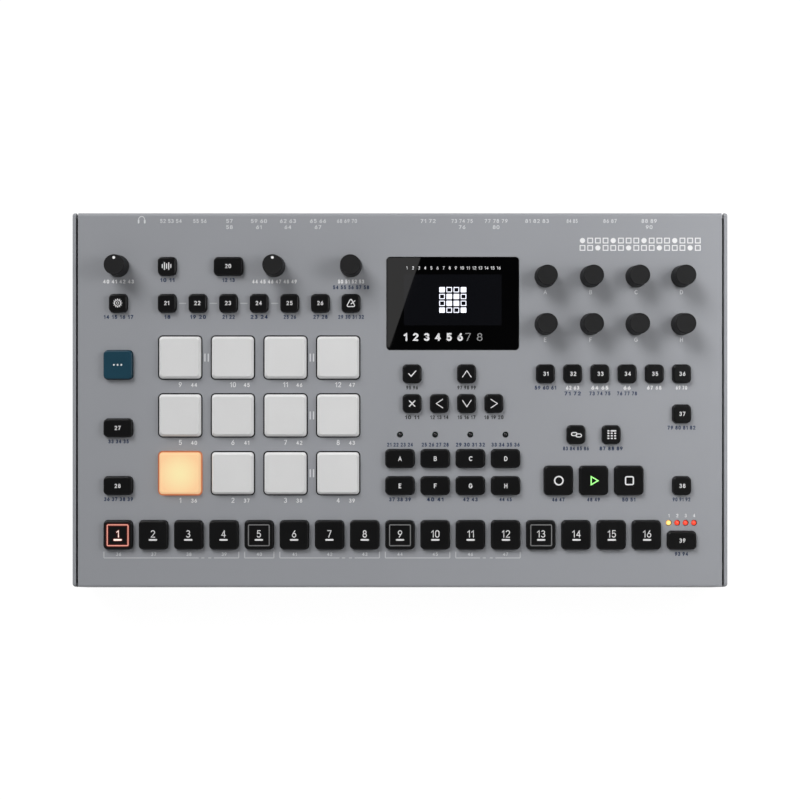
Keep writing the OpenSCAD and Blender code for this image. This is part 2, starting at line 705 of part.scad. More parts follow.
module control_board() {
    sensor_t = 1.2;
    light_w = 16;                                   // the light guide's opening under a pad
    lamp_w = 5;
    lamp_h = 1.5;
    sensor_top = cap_foot - pad_travel - 0.3;
    tray_top = sensor_top - sensor_t - solder_gap;
    on_panel() {
        color([0.1, 0.3, 0.15]) difference() {
            block(panel_w - 8, 2 * panel_half - 16, 2, board_under, board_top);
            for (p = stud_places) translate([p.x, p.y, board_under - cut])
                cylinder(r = screw_hole, h = board_t + 2 * cut, $fn = corner_fn);
        }
        color([0.2, 0.2, 0.2]) for (p = all_keys) key_switch(p);
        color([0.6, 0.6, 0.62]) for (p = all_knobs) encoder(p);
        color([0.9, 0.4, 0.3]) for (p = led_places) led(p);
        color([0.9, 0.9, 0.9]) translate(pads_mid) difference() {
            block(pads_size.x, pads_size.y, 2, board_top + solder_gap, tray_top);
            for (p = pad_places) translate(p - pads_mid)
                block(light_w, light_w, 1, board_top - cut, tray_top + cut);
        }
        color([0.3, 0.25, 0.1]) translate(pads_mid)
            block(pads_size.x, pads_size.y, 2, tray_top + solder_gap, sensor_top);
        color([0.95, 0.95, 0.9]) for (p = pad_places) translate(p)
            block(lamp_w, lamp_w, 0.5, board_top + solder_gap, board_top + lamp_h);
    }
}

// Each voice has a chip and a capacitor, side by side along the main board
voice_first = board_x - 36.5;                       // the first voice, left of the middle
voice_pitch = 18;
voice_chip = [10, 14, 2.6];
can_r = 4;
can_h = 9;
can_row = 8;
voice_row = 18;
// The other chips: [x, y from the board's middle, width, depth, height]
chips = [[70, -10, 24, 24, 2.2], [110, -10, 17, 17, 2], [110, 22, 14, 20, 1.6], [148, -14, 16, 16, 9]];

module main_board() {
    y0 = (board_front + board_back) / 2;
    color([0.1, 0.3, 0.15]) difference() {
        box(-board_x, board_x, board_front, board_back, main_z, main_z + board_t);
        for (p = pillar_places) translate([p.x, p.y, main_z - cut])
            cylinder(r = screw_hole, h = board_t + 2 * cut, $fn = corner_fn);
    }
    color([0.12, 0.12, 0.12]) {
        for (i = [0:7]) translate([voice_pitch * i - voice_first, y0 - voice_row, main_top])
            linear_extrude(voice_chip.z) square([voice_chip.x, voice_chip.y], center = true);
        for (c = chips)
            translate([c[0], y0 + c[1], main_top + c[4] / 2]) cube([c[2], c[3], c[4]], center = true);
    }
    color([0.2, 0.25, 0.4]) for (i = [0:8]) translate([voice_pitch * i - voice_first, y0 + can_row, main_top])
        cylinder(r = can_r, h = can_h, $fn = round_fn);
}

// ---- sockets ----

module audio_jacks() {
    color([0.15, 0.15, 0.16]) for (p = jack_places) difference() {
        union() {
            box(p.x - jack_w / 2, p.x + jack_w / 2, rear_in - jack_d, rear_in,
                p.y - jack_h / 2, p.y + jack_h / 2);
            rod_y(p.x, p.y, rear_in - 1, nose_end, nose_r);
        }
        rod_y(p.x, p.y, rear_in - jack_depth, nose_end + cut, jack_r);
        rod_y(p.x, p.y, rear_in - 1.5, nose_end + cut, jack_lead_r);
    }
}

// A round five-way socket: a ring-shaped slot around a core with five contact holes
module din_socket(x) {
    slot = 9;
    core_r = 6.2;
    contact_r = 4.5;
    difference() {
        box(x - din_w / 2, x + din_w / 2, rear_in - din_d, rear_in,
            din_z - din_w / 2, din_z + din_w / 2);
        difference() {
            rod_y(x, din_z, rear_in - slot, rear_in + cut, din_r - 0.1);
            rod_y(x, din_z, rear_in - slot - cut, rear_in, core_r);
        }
        for (a = [0, 45, 90, 135, 180])
            rod_y(x + contact_r * cos(a), din_z + contact_r * sin(a) - 0.6,
                  rear_in - slot, rear_in + cut, 0.9, corner_fn);
    }
}

module digital_sockets() {
    usb_back = rear_in - usb_d;
    usb_mid = main_top + usb_h / 2;
    mouth = usb_rim + usb_shell;
    inlet_z = main_top + inlet_h / 2;
    inlet_back = rear_in - inlet_d;
    color([0.12, 0.12, 0.13]) for (i = [0:2]) din_socket(din_first + din_pitch * i);
    color([0.7, 0.7, 0.72]) difference() {
        box(usb_x - usb_w / 2, usb_x + usb_w / 2, usb_back, rear_in, main_top, main_top + usb_h);
        difference() {
            box(usb_x - usb_w / 2 + mouth, usb_x + usb_w / 2 - mouth, usb_back + 3, rear_in + cut,
                main_top + mouth, main_top + usb_h - mouth);
            box(usb_x - usb_tongue.x / 2, usb_x + usb_tongue.x / 2, usb_back, rear_in - 1.5,
                usb_mid - usb_tongue.y / 2, usb_mid + usb_tongue.y / 2);
        }
    }
    color([0.12, 0.12, 0.13]) difference() {
        box(inlet_x - inlet_w / 2, inlet_x + inlet_w / 2, inlet_back, rear_in, main_top, main_top + inlet_h);
        difference() {
            rod_y(inlet_x, inlet_z, inlet_back + 3, rear_in + cut, 3.1);
            rod_y(inlet_x, inlet_z, inlet_back, rear_in - 1, 1, corner_fn);
        }
    }
    color([0.12, 0.12, 0.13]) difference() {
        box(power_x - power_w / 2, power_x + power_w / 2, switch_face - 16, switch_face,
            main_top, main_top + power_w);
        rod_y(power_x, power_z, switch_face - power_stem_in - power_travel - 1, switch_face + cut,
              power_stem_r + slip);
    }
}

// ---- assembly ----

base_chassis();
top_panel();
side_panels();
rear_panel();
display_window();
display_module();
control_board();
main_board();
audio_jacks();
digital_sockets();
rubber_feet();
fasteners();
knob(left_knobs[0]);  // knob_main_volume
knob(left_knobs[1]);  // knob_performance
knob(left_knobs[2]);  // knob_track_level
function_key();
transport_key(0);  // record_key
transport_key(1);  // play_key
transport_key(2);  // stop_key
mode_keys();
navigation_keys();
bank_keys();
parameter_keys();
power_button();
for (i = [0:7]) knob(data_knobs[i]);
for (i = [1:12]) pad(i - 1);
for (i = [1:16]) step_key(i - 1);
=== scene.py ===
"""Looks of a desktop drum machine: painted steel case, sprung keys, rubber pads, knobs and display.

Every piece is modelled in millimetres, most of them in the panel's own frame (x along the case,
v up the slope, n out of its face), and is then put into the shared frame, which is in metres.
"""

import json
import math

import bpy
from mathutils import Matrix, Vector

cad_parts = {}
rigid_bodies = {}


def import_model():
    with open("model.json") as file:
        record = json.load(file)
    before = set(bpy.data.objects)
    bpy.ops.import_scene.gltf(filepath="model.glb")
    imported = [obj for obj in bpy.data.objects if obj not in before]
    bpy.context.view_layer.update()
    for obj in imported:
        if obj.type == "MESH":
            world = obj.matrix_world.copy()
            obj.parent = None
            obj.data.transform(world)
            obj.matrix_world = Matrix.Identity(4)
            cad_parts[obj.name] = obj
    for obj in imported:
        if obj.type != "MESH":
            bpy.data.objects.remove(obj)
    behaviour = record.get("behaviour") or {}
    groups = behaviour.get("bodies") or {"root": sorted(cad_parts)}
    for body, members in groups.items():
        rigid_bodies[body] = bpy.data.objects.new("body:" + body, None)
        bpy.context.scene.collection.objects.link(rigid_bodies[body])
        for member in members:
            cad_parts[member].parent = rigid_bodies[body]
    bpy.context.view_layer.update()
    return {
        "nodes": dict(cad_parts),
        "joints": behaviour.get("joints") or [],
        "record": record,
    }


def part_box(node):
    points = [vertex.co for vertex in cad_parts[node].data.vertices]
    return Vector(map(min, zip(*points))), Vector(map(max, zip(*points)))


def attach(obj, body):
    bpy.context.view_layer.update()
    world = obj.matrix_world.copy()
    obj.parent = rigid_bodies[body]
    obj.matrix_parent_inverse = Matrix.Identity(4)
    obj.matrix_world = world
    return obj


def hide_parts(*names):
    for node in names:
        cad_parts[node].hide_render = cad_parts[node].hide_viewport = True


bl_info = {
    "name": "Drum machine",
    "version": (1, 0, 0),
    "blender": (4, 5, 0),
    "location": "3D View > Sidebar > Drum machine",
    "description": "Builds the visible pieces of a desktop drum machine around its frame",
    "category": "Object",
}

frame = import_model()

MM = 0.001
TO_MM = Matrix.Scale(1 / MM, 4)
TO_METRES = Matrix.Scale(MM, 4)
INK = 0.02      # thickness of print, in millimetres
WELD = 0.0005   # distance within which corners are one, in millimetres

# The panel's frame: its normal is opposite to the way a key is pressed
PRESS = next(j["axis"] for j in frame["joints"] if j["name"] == "play_key_press")
NORMAL = -Vector(PRESS).normalized()
TILT = math.acos(NORMAL.z)
UP_SLOPE = Vector((0, math.cos(TILT), math.sin(TILT)))


def panel_frame():
    """The matrix from panel millimetres to the shared frame in metres."""
    face = max(v.co.dot(NORMAL) for v in frame["nodes"]["top_panel"].data.vertices)
    low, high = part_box("top_panel")
    y = (low.y + high.y) / 2
    origin = Vector((0, y, (face - y * NORMAL.y) / NORMAL.z))
    turn = Matrix((Vector((1, 0, 0)), UP_SLOPE, NORMAL)).transposed().to_4x4()
    return Matrix.Translation(origin) @ turn @ TO_METRES


PANEL = panel_frame()
TO_PANEL = PANEL.inverted()


# ---- reading the frame ----


def solids(node):
    """The points of each solid of a CAD node, in panel millimetres, by rows from the top."""
    mesh = frame["nodes"][node].data
    points = [TO_PANEL @ v.co for v in mesh.vertices]
    welded, key_of = {}, []
    for p in points:
        key = tuple(round(c, 3) for c in p)
        key_of.append(welded.setdefault(key, len(welded)))
    parent = list(range(len(welded)))

    def root(i):
        while parent[i] != i:
            parent[i] = parent[parent[i]]
            i = parent[i]
        return i

    for face in mesh.polygons:
        first = root(key_of[face.vertices[0]])
        for i in face.vertices[1:]:
            parent[root(key_of[i])] = first
    groups = {}
    for p, key in zip(points, key_of):
        groups.setdefault(root(key), []).append(p)
    return sorted(groups.values(), key=lambda g: (-round(middle(g).y), middle(g).x))


def extent(points):
    low = Vector([min(p[i] for p in points) for i in range(3)])
    high = Vector([max(p[i] for p in points) for i in range(3)])
    return low, high


def middle(points):
    low, high = extent(points)
    return (low + high) / 2


def place_of(node):
    """The middle of a node's first solid."""
    return middle(solids(node)[0])


# ---- modelling ----


def only(*objects):
    """Selects these objects and nothing else, and makes the first one active."""
    bpy.ops.object.select_all(action="DESELECT")
    for ob in objects:
        ob.select_set(True)
    bpy.context.view_layer.objects.active = objects[0]


def pick(ob, kind, test):
    """Enters edit mode with only the edges or faces selected whose middle and direction pass."""
    only(ob)
    mesh = ob.data
    for group in (mesh.vertices, mesh.edges, mesh.polygons):
        group.foreach_set("select", [False] * len(group))
    if kind == "FACE":
        for face in mesh.polygons:
            face.select = test(face.center, face.normal)
    else:
        for edge in mesh.edges:
            a, b = (mesh.vertices[i].co for i in edge.vertices)
            edge.select = test((a + b) / 2, (b - a).normalized())
    bpy.context.tool_settings.mesh_select_mode = (False, kind == "EDGE", kind == "FACE")
    bpy.ops.object.mode_set(mode="EDIT")


def done():
    bpy.ops.object.mode_set(mode="OBJECT")


def extrude(x=0.0, y=0.0, z=0.0):
    bpy.ops.mesh.extrude_region_move(TRANSFORM_OT_translate={"value": (x, y, z)})


def resize(x, y):
    bpy.ops.transform.resize(value=(x, y, 1))


def pick_all(ob):
    pick(ob, "FACE", lambda mid, way: True)
    bpy.ops.mesh.select_all(action="SELECT")


def round_edges(ob, width, segments, test):
    """Bevels the edges whose middle and direction pass."""
    pick(ob, "EDGE", test)
    bpy.ops.mesh.bevel(offset=width, segments=segments, affect="EDGES")
    done()


def primitive(kind, **settings):
    """A primitive with its place and size applied, selected alone."""
    bpy.ops.object.select_all(action="DESELECT")
    getattr(bpy.ops.mesh, f"primitive_{kind}_add")(**settings)
    bpy.ops.object.transform_apply(location=True, rotation=True, scale=True)
    return bpy.context.object


def slab(w, d, r, z0, z1, segments=4):
    """A slab centred on the origin, with rounded upright edges."""
    ob = primitive("cube", size=1, location=(0, 0, (z0 + z1) / 2), scale=(w, d, z1 - z0))
    round_edges(ob, r, segments, lambda mid, way: abs(way.z) > 0.9)
    return ob


def soften_top(ob, width, segments):
    """Rounds the edges around the highest face."""
    top = max(v.co.z for v in ob.data.vertices)
    round_edges(ob, width, segments, lambda mid, way: mid.z > top - 1e-4 and abs(way.z) < 0.1)


def outline(w, d, corner, stroke, thickness=INK):
    """A flat rectangular ring, w by d outside, drawn with a stroke."""
    ob = primitive("plane", size=1)
    ob.data.transform(Matrix.Diagonal((w, d, 1, 1)))
    pick_all(ob)
    bpy.ops.mesh.select_mode(type="VERT")
    bpy.ops.mesh.bevel(offset=corner, segments=4, affect="VERTICES")
    bpy.ops.mesh.select_mode(type="FACE")
    bpy.ops.mesh.select_all(action="SELECT")
    bpy.ops.mesh.inset(thickness=stroke)
    bpy.ops.mesh.delete(type="FACE")
    bpy.ops.mesh.select_all(action="SELECT")
    extrude(z=thickness)
    bpy.ops.mesh.select_all(action="SELECT")
    bpy.ops.mesh.normals_make_consistent(inside=False)
    done()
    return ob


def moved(ob, x=0.0, y=0.0, z=0.0):
    ob.data.transform(Matrix.Translation((x, y, z)))
    return ob


def bar(x, v, w, d, z=0.0, thickness=INK):
    """A flat printed bar with round ends."""
    return moved(slab(w, d, min(w, d) * 0.49, 0, thickness, 3), x, v, z)


def ribbon(points, width, closed):
    """The outlines of a line drawn with a round pen: two rings for a closed line, else one."""
    line = [Vector(p) for p in points]
    count, left, right, ways = len(line), [], [], []
    for i, p in enumerate(line):
        before = p - line[i - 1] if closed or i else line[1] - p
        after = line[(i + 1) % count] - p if closed or i < count - 1 else before
        way = (before.normalized() + after.normalized()).normalized()
        side = Vector((-way.y, way.x)) * width / 2 / max(way.dot(before.normalized()), 0.65)
        left.append(p + side)
        right.append(p - side)
        ways.append(way)
    if closed:
        return [left, right]
    return [left + cap(line[-1], ways[-1], width) + right[::-1] + cap(line[0], -ways[0], width)]


def cap(end, way, width):
    """Half a circle around the end of a line."""
    side = Vector((-way.y, way.x))
    turns = (math.pi / 4, math.pi / 2, math.pi * 3 / 4)
    return [end + (side * math.cos(a) + way * math.sin(a)) * width / 2 for a in turns]


def drawn(strokes, width, x=0.0, v=0.0, z=0.0):
    """Flat print along lines, each given as whether it is closed and its points."""
    made = []
    for closed, points in strokes:
        curve = bpy.data.curves.new("stroke", "CURVE")
        curve.dimensions, curve.fill_mode, curve.extrude = "2D", "BOTH", INK / 2
        for ring in ribbon(points, width, closed):
            spline = curve.splines.new("POLY")
            spline.points.add(len(ring) - 1)
            spline.points.foreach_set("co", [c for q in ring for c in (q.x, q.y, 0, 1)])
            spline.use_cyclic_u = True
        only(linked(bpy.data.objects.new("stroke", curve)))
        bpy.ops.object.convert(target="MESH")
        made.append(moved(bpy.context.object, z=INK / 2))
    return moved(joined(made), x, v, z)


def arc(x, y, rx, ry, start, stop, steps=6):
    """Points along a part of an ellipse, between two angles in degrees."""
    angles = [math.radians(start + (stop - start) * i / steps) for i in range(steps + 1)]
    return [(x + rx * math.cos(a), y + ry * math.sin(a)) for a in angles]


def loop(x, y, rx, ry, steps=14):
    return arc(x, y, rx, ry, 0, 360 - 360 / steps, steps - 1)


# Centre lines of the figures in a box of height 1, each with whether it is closed
FIGURES = {
    "0": [(True, arc(0.27, 0.73, 0.27, 0.27, 0, 180) + arc(0.27, 0.27, 0.27, 0.27, 180, 360))],
    "1": [(False, [(0, 0.76), (0.26, 1), (0.26, 0)])],
    "2": [(False, arc(0.27, 0.73, 0.27, 0.27, 160, -35) + [(0, 0), (0.54, 0)])],
    "3": [(False, arc(0.25, 0.76, 0.24, 0.24, 150, -90)),
          (False, arc(0.25, 0.26, 0.28, 0.26, 90, -155))],
    "4": [(False, [(0.42, 0), (0.42, 1)]), (False, [(0.42, 1), (0, 0.28), (0.58, 0.28)])],
    "5": [(False, [(0.5, 1), (0.09, 1), (0.04, 0.52)] + arc(0.26, 0.32, 0.28, 0.32, 120, -150, 8))],
    "6": [(True, loop(0.27, 0.3, 0.27, 0.3)), (False, [(0.4, 1), (0.03, 0.42)])],
    "7": [(False, [(0, 1), (0.53, 1), (0.16, 0)])],
    "8": [(True, loop(0.27, 0.76, 0.22, 0.24, 12)), (True, loop(0.27, 0.27, 0.27, 0.27))],
    "9": [(True, loop(0.27, 0.7, 0.27, 0.3)), (False, [(0.14, 0), (0.51, 0.58)])],
    "A": [(False, [(0, 0), (0.35, 1), (0.7, 0)]), (False, [(0.12, 0.32), (0.58, 0.32)])],
    "B": [(False, [(0, 0), (0, 1)]),
          (False, [(0, 1), *arc(0.28, 0.77, 0.24, 0.23, 90, -90), (0, 0.54)]),
          (False, [(0, 0.54), *arc(0.3, 0.27, 0.27, 0.27, 90, -90), (0, 0)])],
    "C": [(False, arc(0.38, 0.5, 0.38, 0.5, 48, 312, 12))],
    "D": [(False, [(0, 0), (0, 1)]),
          (False, [(0, 1), *arc(0.22, 0.5, 0.42, 0.5, 90, -90, 8), (0, 0)])],
    "E": [(False, [(0.5, 1), (0, 1), (0, 0), (0.5, 0)]), (False, [(0, 0.52), (0.42, 0.52)])],
    "F": [(False, [(0.5, 1), (0, 1), (0, 0)]), (False, [(0, 0.5), (0.42, 0.5)])],
    "G": [(False, [*arc(0.38, 0.5, 0.38, 0.5, 48, 345, 12), (0.75, 0.47), (0.44, 0.47)])],
    "H": [(False, [(0, 0), (0, 1)]), (False, [(0.6, 0), (0.6, 1)]),
          (False, [(0, 0.5), (0.6, 0.5)])],
}
# Weight of the strokes, gap between figures and width of a space, as shares of the height
THIN, REGULAR = 0.11, 0.15
GAP, SPACE = 0.2, 0.4
NARROWEST, WIDEST = 0.78, 1.22


class Lettering:
    """Plain figures drawn with strokes. Each is modelled once for a weight, and copied."""

    def __init__(self):
        self.templates = {}

    def template(self, figure, weight):
        if (figure, weight) not in self.templates:
            shrink, edge = 1 - weight, weight / 2
            lines = [(closed, [(x * shrink + edge, y * shrink + edge) for x, y in points])
                     for closed, points in FIGURES[figure]]
            self.templates[figure, weight] = drawn(lines, weight)
        return self.templates[figure, weight]

    def row(self, text, x, v, size, z=0.0, weight=REGULAR, width=None):
        """Figures centred on a place, drawn wider or narrower where a width is given."""
        placed, along = [], 0.0
        for figure in text:
            if figure == " ":
                along += SPACE
                continue
            source = self.template(figure, weight)
            placed.append((source, along))
            along += max(p.co.x for p in source.data.vertices) + GAP
        natural = (along - GAP) * size
        stretch = min(WIDEST, max(NARROWEST, width / natural)) if width else 1.0
        start = x - natural * stretch / 2
        copies = []
        for source, along in placed:
            ob = copy_at(source, 0, 0)
            ob.data.transform(Matrix.Translation((start + along * size * stretch, v - size / 2, z))
                              @ Matrix.Diagonal((size * stretch, size, 1, 1)))
            copies.append(ob)
        return joined(copies)

    def close(self):
        discard(*self.templates.values())


def linked(ob):
    bpy.context.scene.collection.objects.link(ob)
    return ob


def copy_at(template, x, v):
    ob = template.copy()
    ob.data = template.data.copy()
    return moved(linked(ob), x, v)


def joined(objects):
    only(*objects)
    if len(objects) > 1:
        bpy.ops.object.join()
    return objects[0]


def discard(*objects):
    for ob in objects:
        bpy.data.objects.remove(ob)


def smooth(ob, angle=40):
    """Smooth shading that keeps flat faces flat."""
    only(ob)
    bpy.ops.object.shade_smooth_by_angle(angle=math.radians(angle))
    weighted = ob.modifiers.new("even_faces", "WEIGHTED_NORMAL")
    weighted.keep_sharp = True
    bpy.ops.object.modifier_apply(modifier=weighted.name)
    return ob


def copy_of(node):
    """A welded copy of a CAD node, in millimetres."""
    ob = linked(frame["nodes"][node].copy())
    ob.parent = None
    ob.data = ob.data.copy()
    for key in list(ob.keys()):
        del ob[key]
    ob.data.transform(TO_MM)
    ob.data.materials.clear()
    only(ob)
    bpy.ops.mesh.customdata_custom_splitnormals_clear()
    pick_all(ob)
    bpy.ops.mesh.remove_doubles(threshold=WELD)
    done()
    return ob


def split(node):
    """Each solid of a CAD node as an object of its own, in millimetres."""
    ob = copy_of(node)
    before = set(bpy.data.objects)
    pick_all(ob)
    bpy.ops.mesh.separate(type="LOOSE")
    done()
    return [ob] + [o for o in bpy.data.objects if o not in before]


def kinds_of(node, kind_of, to_panel=True):
    """The solids of a CAD node joined by kind, which is worked out from their size and middle."""
    groups = {}
    for ob in split(node):
        groups.setdefault(kind_of(*size_of(ob, to_panel)), []).append(ob)
    return {kind: joined(group) for kind, group in groups.items()}


def size_of(ob, to_panel=True):
    """Size and middle of an object in millimetres, in the panel's frame or the shared one."""
    turn = TO_PANEL @ TO_METRES if to_panel else Matrix.Identity(4)
    low, high = extent([turn @ v.co for v in ob.data.vertices])
    return high - low, (low + high) / 2


def level(ob, width=1.0, area=100.0, reach=30):
    """Gives wide faces, and what meets them at a small angle, exactly the wide face's normal."""
    mesh, wide, planes = ob.data, {}, []

    def around(face):
        corners = [mesh.vertices[i].co for i in face.vertices]
        return sum((a - b).length for a, b in zip(corners, corners[1:] + corners[:1]))

    def on_plane(face):
        return any(normal.dot(face.normal) > 0.9999 and abs(normal.dot(face.center) - height) < 0.02
                   for normal, height in planes)

    for face in sorted(mesh.polygons, key=lambda f: -f.area):
        broad = 2 * face.area > width * around(face)
        if not on_plane(face):
            if not broad:
                continue
            if face.area > area:
                planes.append((face.normal.copy(), face.normal.dot(face.center)))
        face.use_smooth = False
        for i in face.vertices:
            wide.setdefault(i, []).append(face.normal.copy())
    normals = [corner.vector.copy() for corner in mesh.corner_normals]
    limit = math.cos(math.radians(reach))
    for face in mesh.polygons:
        for corner, vertex in zip(face.loop_indices, face.vertices):
            nearest = max(wide.get(vertex, ()), key=face.normal.dot, default=None)
            if nearest and nearest.dot(face.normal) > limit:
                normals[corner] = nearest
    mesh.normals_split_custom_set(normals)
    return ob


def bevelled(ob, width, segments=2, angle=30, soft=False):
    """Flat faces cleaned up and every sharp edge rounded."""
    flat, smoothed = 0.3, 50
    pick_all(ob)
    bpy.ops.mesh.dissolve_limited(angle_limit=math.radians(flat))
    done()
    edge = ob.modifiers.new("rounded_edges", "BEVEL")
    edge.width, edge.segments, edge.angle_limit = width, segments, math.radians(angle)
    edge.use_clamp_overlap = True
    bpy.ops.object.modifier_apply(modifier=edge.name)
    if soft:
        return smooth(ob, smoothed)
    only(ob)
    bpy.ops.object.shade_smooth_by_angle(angle=math.radians(smoothed))
    return level(ob)


def piece(ob, name, finish, slot, *nodes, body="case", on_panel=False):
    """Puts a millimetre model into the shared frame as a finished piece."""
    ob.data.transform(PANEL if on_panel else TO_METRES)
    ob.name = ob.data.name = name
    ob.data.materials.clear()
    ob.data.materials.append(finish)
    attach(ob, body)
    if nodes:
        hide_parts(*nodes)
    return ob


# ---- finishes ----


def arithmetic(operation, swapped=False):
    """A method that adds a Math node for a socket and another socket or number."""
    def add(self, other):
        values = (other, self) if swapped else (self, other)
        return self.finish.add("ShaderNodeMath", {"operation": operation}, dict(enumerate(values)))
    return add


class Socket:
    """An output of a shader node, with arithmetic that adds Math nodes."""

    def __init__(self, finish, output):
        self.finish, self.output = finish, output

    __add__ = __radd__ = arithmetic("ADD")
    __mul__ = __rmul__ = arithmetic("MULTIPLY")
    __sub__ = arithmetic("SUBTRACT")
    __rsub__ = arithmetic("SUBTRACT", swapped=True)
    __truediv__ = arithmetic("DIVIDE")
    __pow__ = arithmetic("POWER")
    __gt__ = arithmetic("GREATER_THAN")
    at_most = arithmetic("MINIMUM")
    at_least = arithmetic("MAXIMUM")


class Finish:
    """A material under construction. Lengths are in metres, because that is what Object gives."""

    def __init__(self, name, world=None):
        self.owner = world or bpy.data.materials.new(name)
        self.owner.use_nodes = True
        self.tree = self.owner.node_tree
        self.tree.nodes.clear()

    def add(self, kind, settings, inputs, output=0):
        node = self.tree.nodes.new(kind)
        for name, value in settings.items():
            setattr(node, name, value)
        for name, value in inputs.items():
            if isinstance(value, Socket):
                self.tree.links.new(value.output, node.inputs[name])
            else:
                node.inputs[name].default_value = value
        return Socket(self, node.outputs[output]) if node.outputs else None

    def place(self, origin=(0, 0, 0), tilt=0.0):
        """Object coordinates, from an origin and turned with the panel where asked."""
        here = self.add("ShaderNodeTexCoord", {}, {}, "Object")
        settings = {"vector_type": "TEXTURE"}
        return self.add("ShaderNodeMapping", settings,
                        {"Vector": here, "Location": origin, "Rotation": (tilt, 0, 0)})

    def axes(self, vector):
        node = self.add("ShaderNodeSeparateXYZ", {}, {0: vector}).output.node
        return [Socket(self, node.outputs[i]) for i in range(3)]

    def noise(self, scale, detail=2.0, vector=None):
        vector = vector or self.place()
        return self.add("ShaderNodeTexNoise", {},
                        {"Vector": vector, "Scale": scale, "Detail": detail}, "Fac")

    def blend(self, factor, first, second):
        return self.add("ShaderNodeMix", {"data_type": "RGBA"},
                        {0: factor, 6: first, 7: second}, 2)

    def bump(self, height, distance, strength=1.0):
        return self.add("ShaderNodeBump", {},
                        {"Height": height, "Distance": distance, "Strength": strength}, "Normal")

    def surface(self, **inputs):
        """Ends the material with a Principled shader. Names are written with underscores."""
        named = {name.replace("_", " "): value for name, value in inputs.items()}
        shader = self.add("ShaderNodeBsdfPrincipled", {}, named)
        self.add("ShaderNodeOutputMaterial", {}, {"Surface": shader})
        return self.owner


def shade(colour, factor):
    return (*(min(1.0, c * factor) for c in colour[:3]), 1.0)


def powder_coat(name, colour, roughness=0.5):
    """Fine matte powder coat on steel: a close orange-peel and a faint cloudiness."""
    f = Finish(name)
    cloud, peel, dust = f.noise(14, 3), f.noise(2600, 2), f.noise(9000, 1)
    tone = f.blend(cloud, shade(colour, 0.965), shade(colour, 1.035))
    return f.surface(
        Base_Color=f.blend((dust - 0.5) * 0.5 + 0.25, tone, shade(colour, 1.12)),
        Roughness=cloud * 0.08 + (roughness - 0.04),
        Normal=f.bump(peel + dust * 0.6, 0.00003, 0.5),
        Specular_IOR_Level=0.35,
    )


def moulded(name, colour, roughness=0.4, specular=0.35, grain=5200):
    """Moulded plastic with a fine spark-eroded grain."""
    f = Finish(name)
    grains, wear = f.noise(grain, 2), f.noise(60, 4)
    return f.surface(
        Base_Color=f.blend(wear, shade(colour, 0.85), shade(colour, 1.2)),
        Roughness=wear * 0.12 + (roughness - 0.06),
        Normal=f.bump(grains, 0.00002, 0.35),
        Specular_IOR_Level=specular,
    )


def silicone(name, colour, roughness=0.55, rise=None):
    """Soft silicone rubber with a fine matte tooth. On a pad, all below a line just over the
    panel's face is painted near black as painted shade in the gap, and its walls up to its rise get
    a faint painted glow."""
    f = Finish(name)
    tooth, tone = f.noise(3800, 3), f.noise(45, 3)
    paint, painted_wall_glow = f.blend(tone, shade(colour, 0.97), shade(colour, 1.03)), (0, 0, 0, 1)
    if rise:
        skirt = 0.1 * MM
        _, _, n = f.axes(f.place(tuple(PANEL.translation), TILT))
        # Painted shade: near black below the panel's face, so the gap around the pad looks dark
        paint = f.blend(n > skirt, shade(colour, 0.02), paint)
        # Painted light: a faint grey glow on the walls, between that line and the rise, to brighten
        # their shaded sides
        painted_wall_glow = f.blend((n > skirt) - (n > rise), painted_wall_glow, (0.13, 0.13, 0.13, 1))
    return f.surface(
        Base_Color=paint,
        Roughness=tone * 0.1 + (roughness - 0.05),
        Normal=f.bump(tooth, 0.00003, 0.3),
        Specular_IOR_Level=0.3,
        Emission_Color=painted_wall_glow,
        Emission_Strength=1.0,
    )


def ink(name, colour, roughness=0.5):
    """Screen-printed ink, with the small unevenness of its coverage."""
    f = Finish(name)
    cover = f.noise(2200, 3)
    return f.surface(
        Base_Color=f.blend(cover, shade(colour, 0.9), shade(colour, 1.06)),
        Roughness=cover * 0.1 + (roughness - 0.05),
        Normal=f.bump(cover, 0.00001, 0.3),
    )


def lit_ink(name, colour, strength):
    """A legend with a light behind it."""
    f = Finish(name)
    cover = f.noise(900, 2)
    return f.surface(
        Base_Color=shade(colour, 0.6),
        Roughness=cover * 0.1 + 0.4,
        Emission_Color=f.blend(cover, shade(colour, 0.9), shade(colour, 1.1)),
        Emission_Strength=strength,
    )


def steel(name, colour=(0.5, 0.5, 0.52), roughness=0.34):
    """Zinc-plated or nickel-plated steel, finely brushed."""
    f = Finish(name)
    streaks = f.add("ShaderNodeMapping", {}, {"Vector": f.place(), "Scale": (1, 14, 1)})
    brushed, stain = f.noise(900, 4, streaks), f.noise(70, 3)
    return f.surface(
        Base_Color=f.blend(stain, shade(colour, 0.85), shade(colour, 1.1)),
        Metallic=1.0,
        Roughness=brushed * 0.18 + (roughness - 0.09),
        Normal=f.bump(brushed, 0.00001, 0.4),
    )


def circuit_board(name, colour=(0.012, 0.09, 0.035)):
    """Solder mask over a pattern of straight tracks and round vias."""
    f = Finish(name)
    where = f.place(tilt=TILT)
    tracks = f.add("ShaderNodeTexBrick", {"offset": 0.37, "squash": 1.6, "squash_frequency": 3},
                   {"Vector": where, "Scale": 120.0, "Mortar Size": 0.035,
                    "Mortar Smooth": 0.1}, "Fac")
    vias = f.add("ShaderNodeTexVoronoi", {}, {"Vector": where, "Scale": 420.0}, "Distance")
    raised = (tracks + (1 - (vias > 0.16)) * 0.6).at_most(1.0)
    return f.surface(
        Base_Color=f.blend(raised, shade(colour, 1.0), shade(colour, 2.4)),
        Roughness=0.35 - raised * 0.08,
        Normal=f.bump(raised, 0.00003, 0.5),
    )


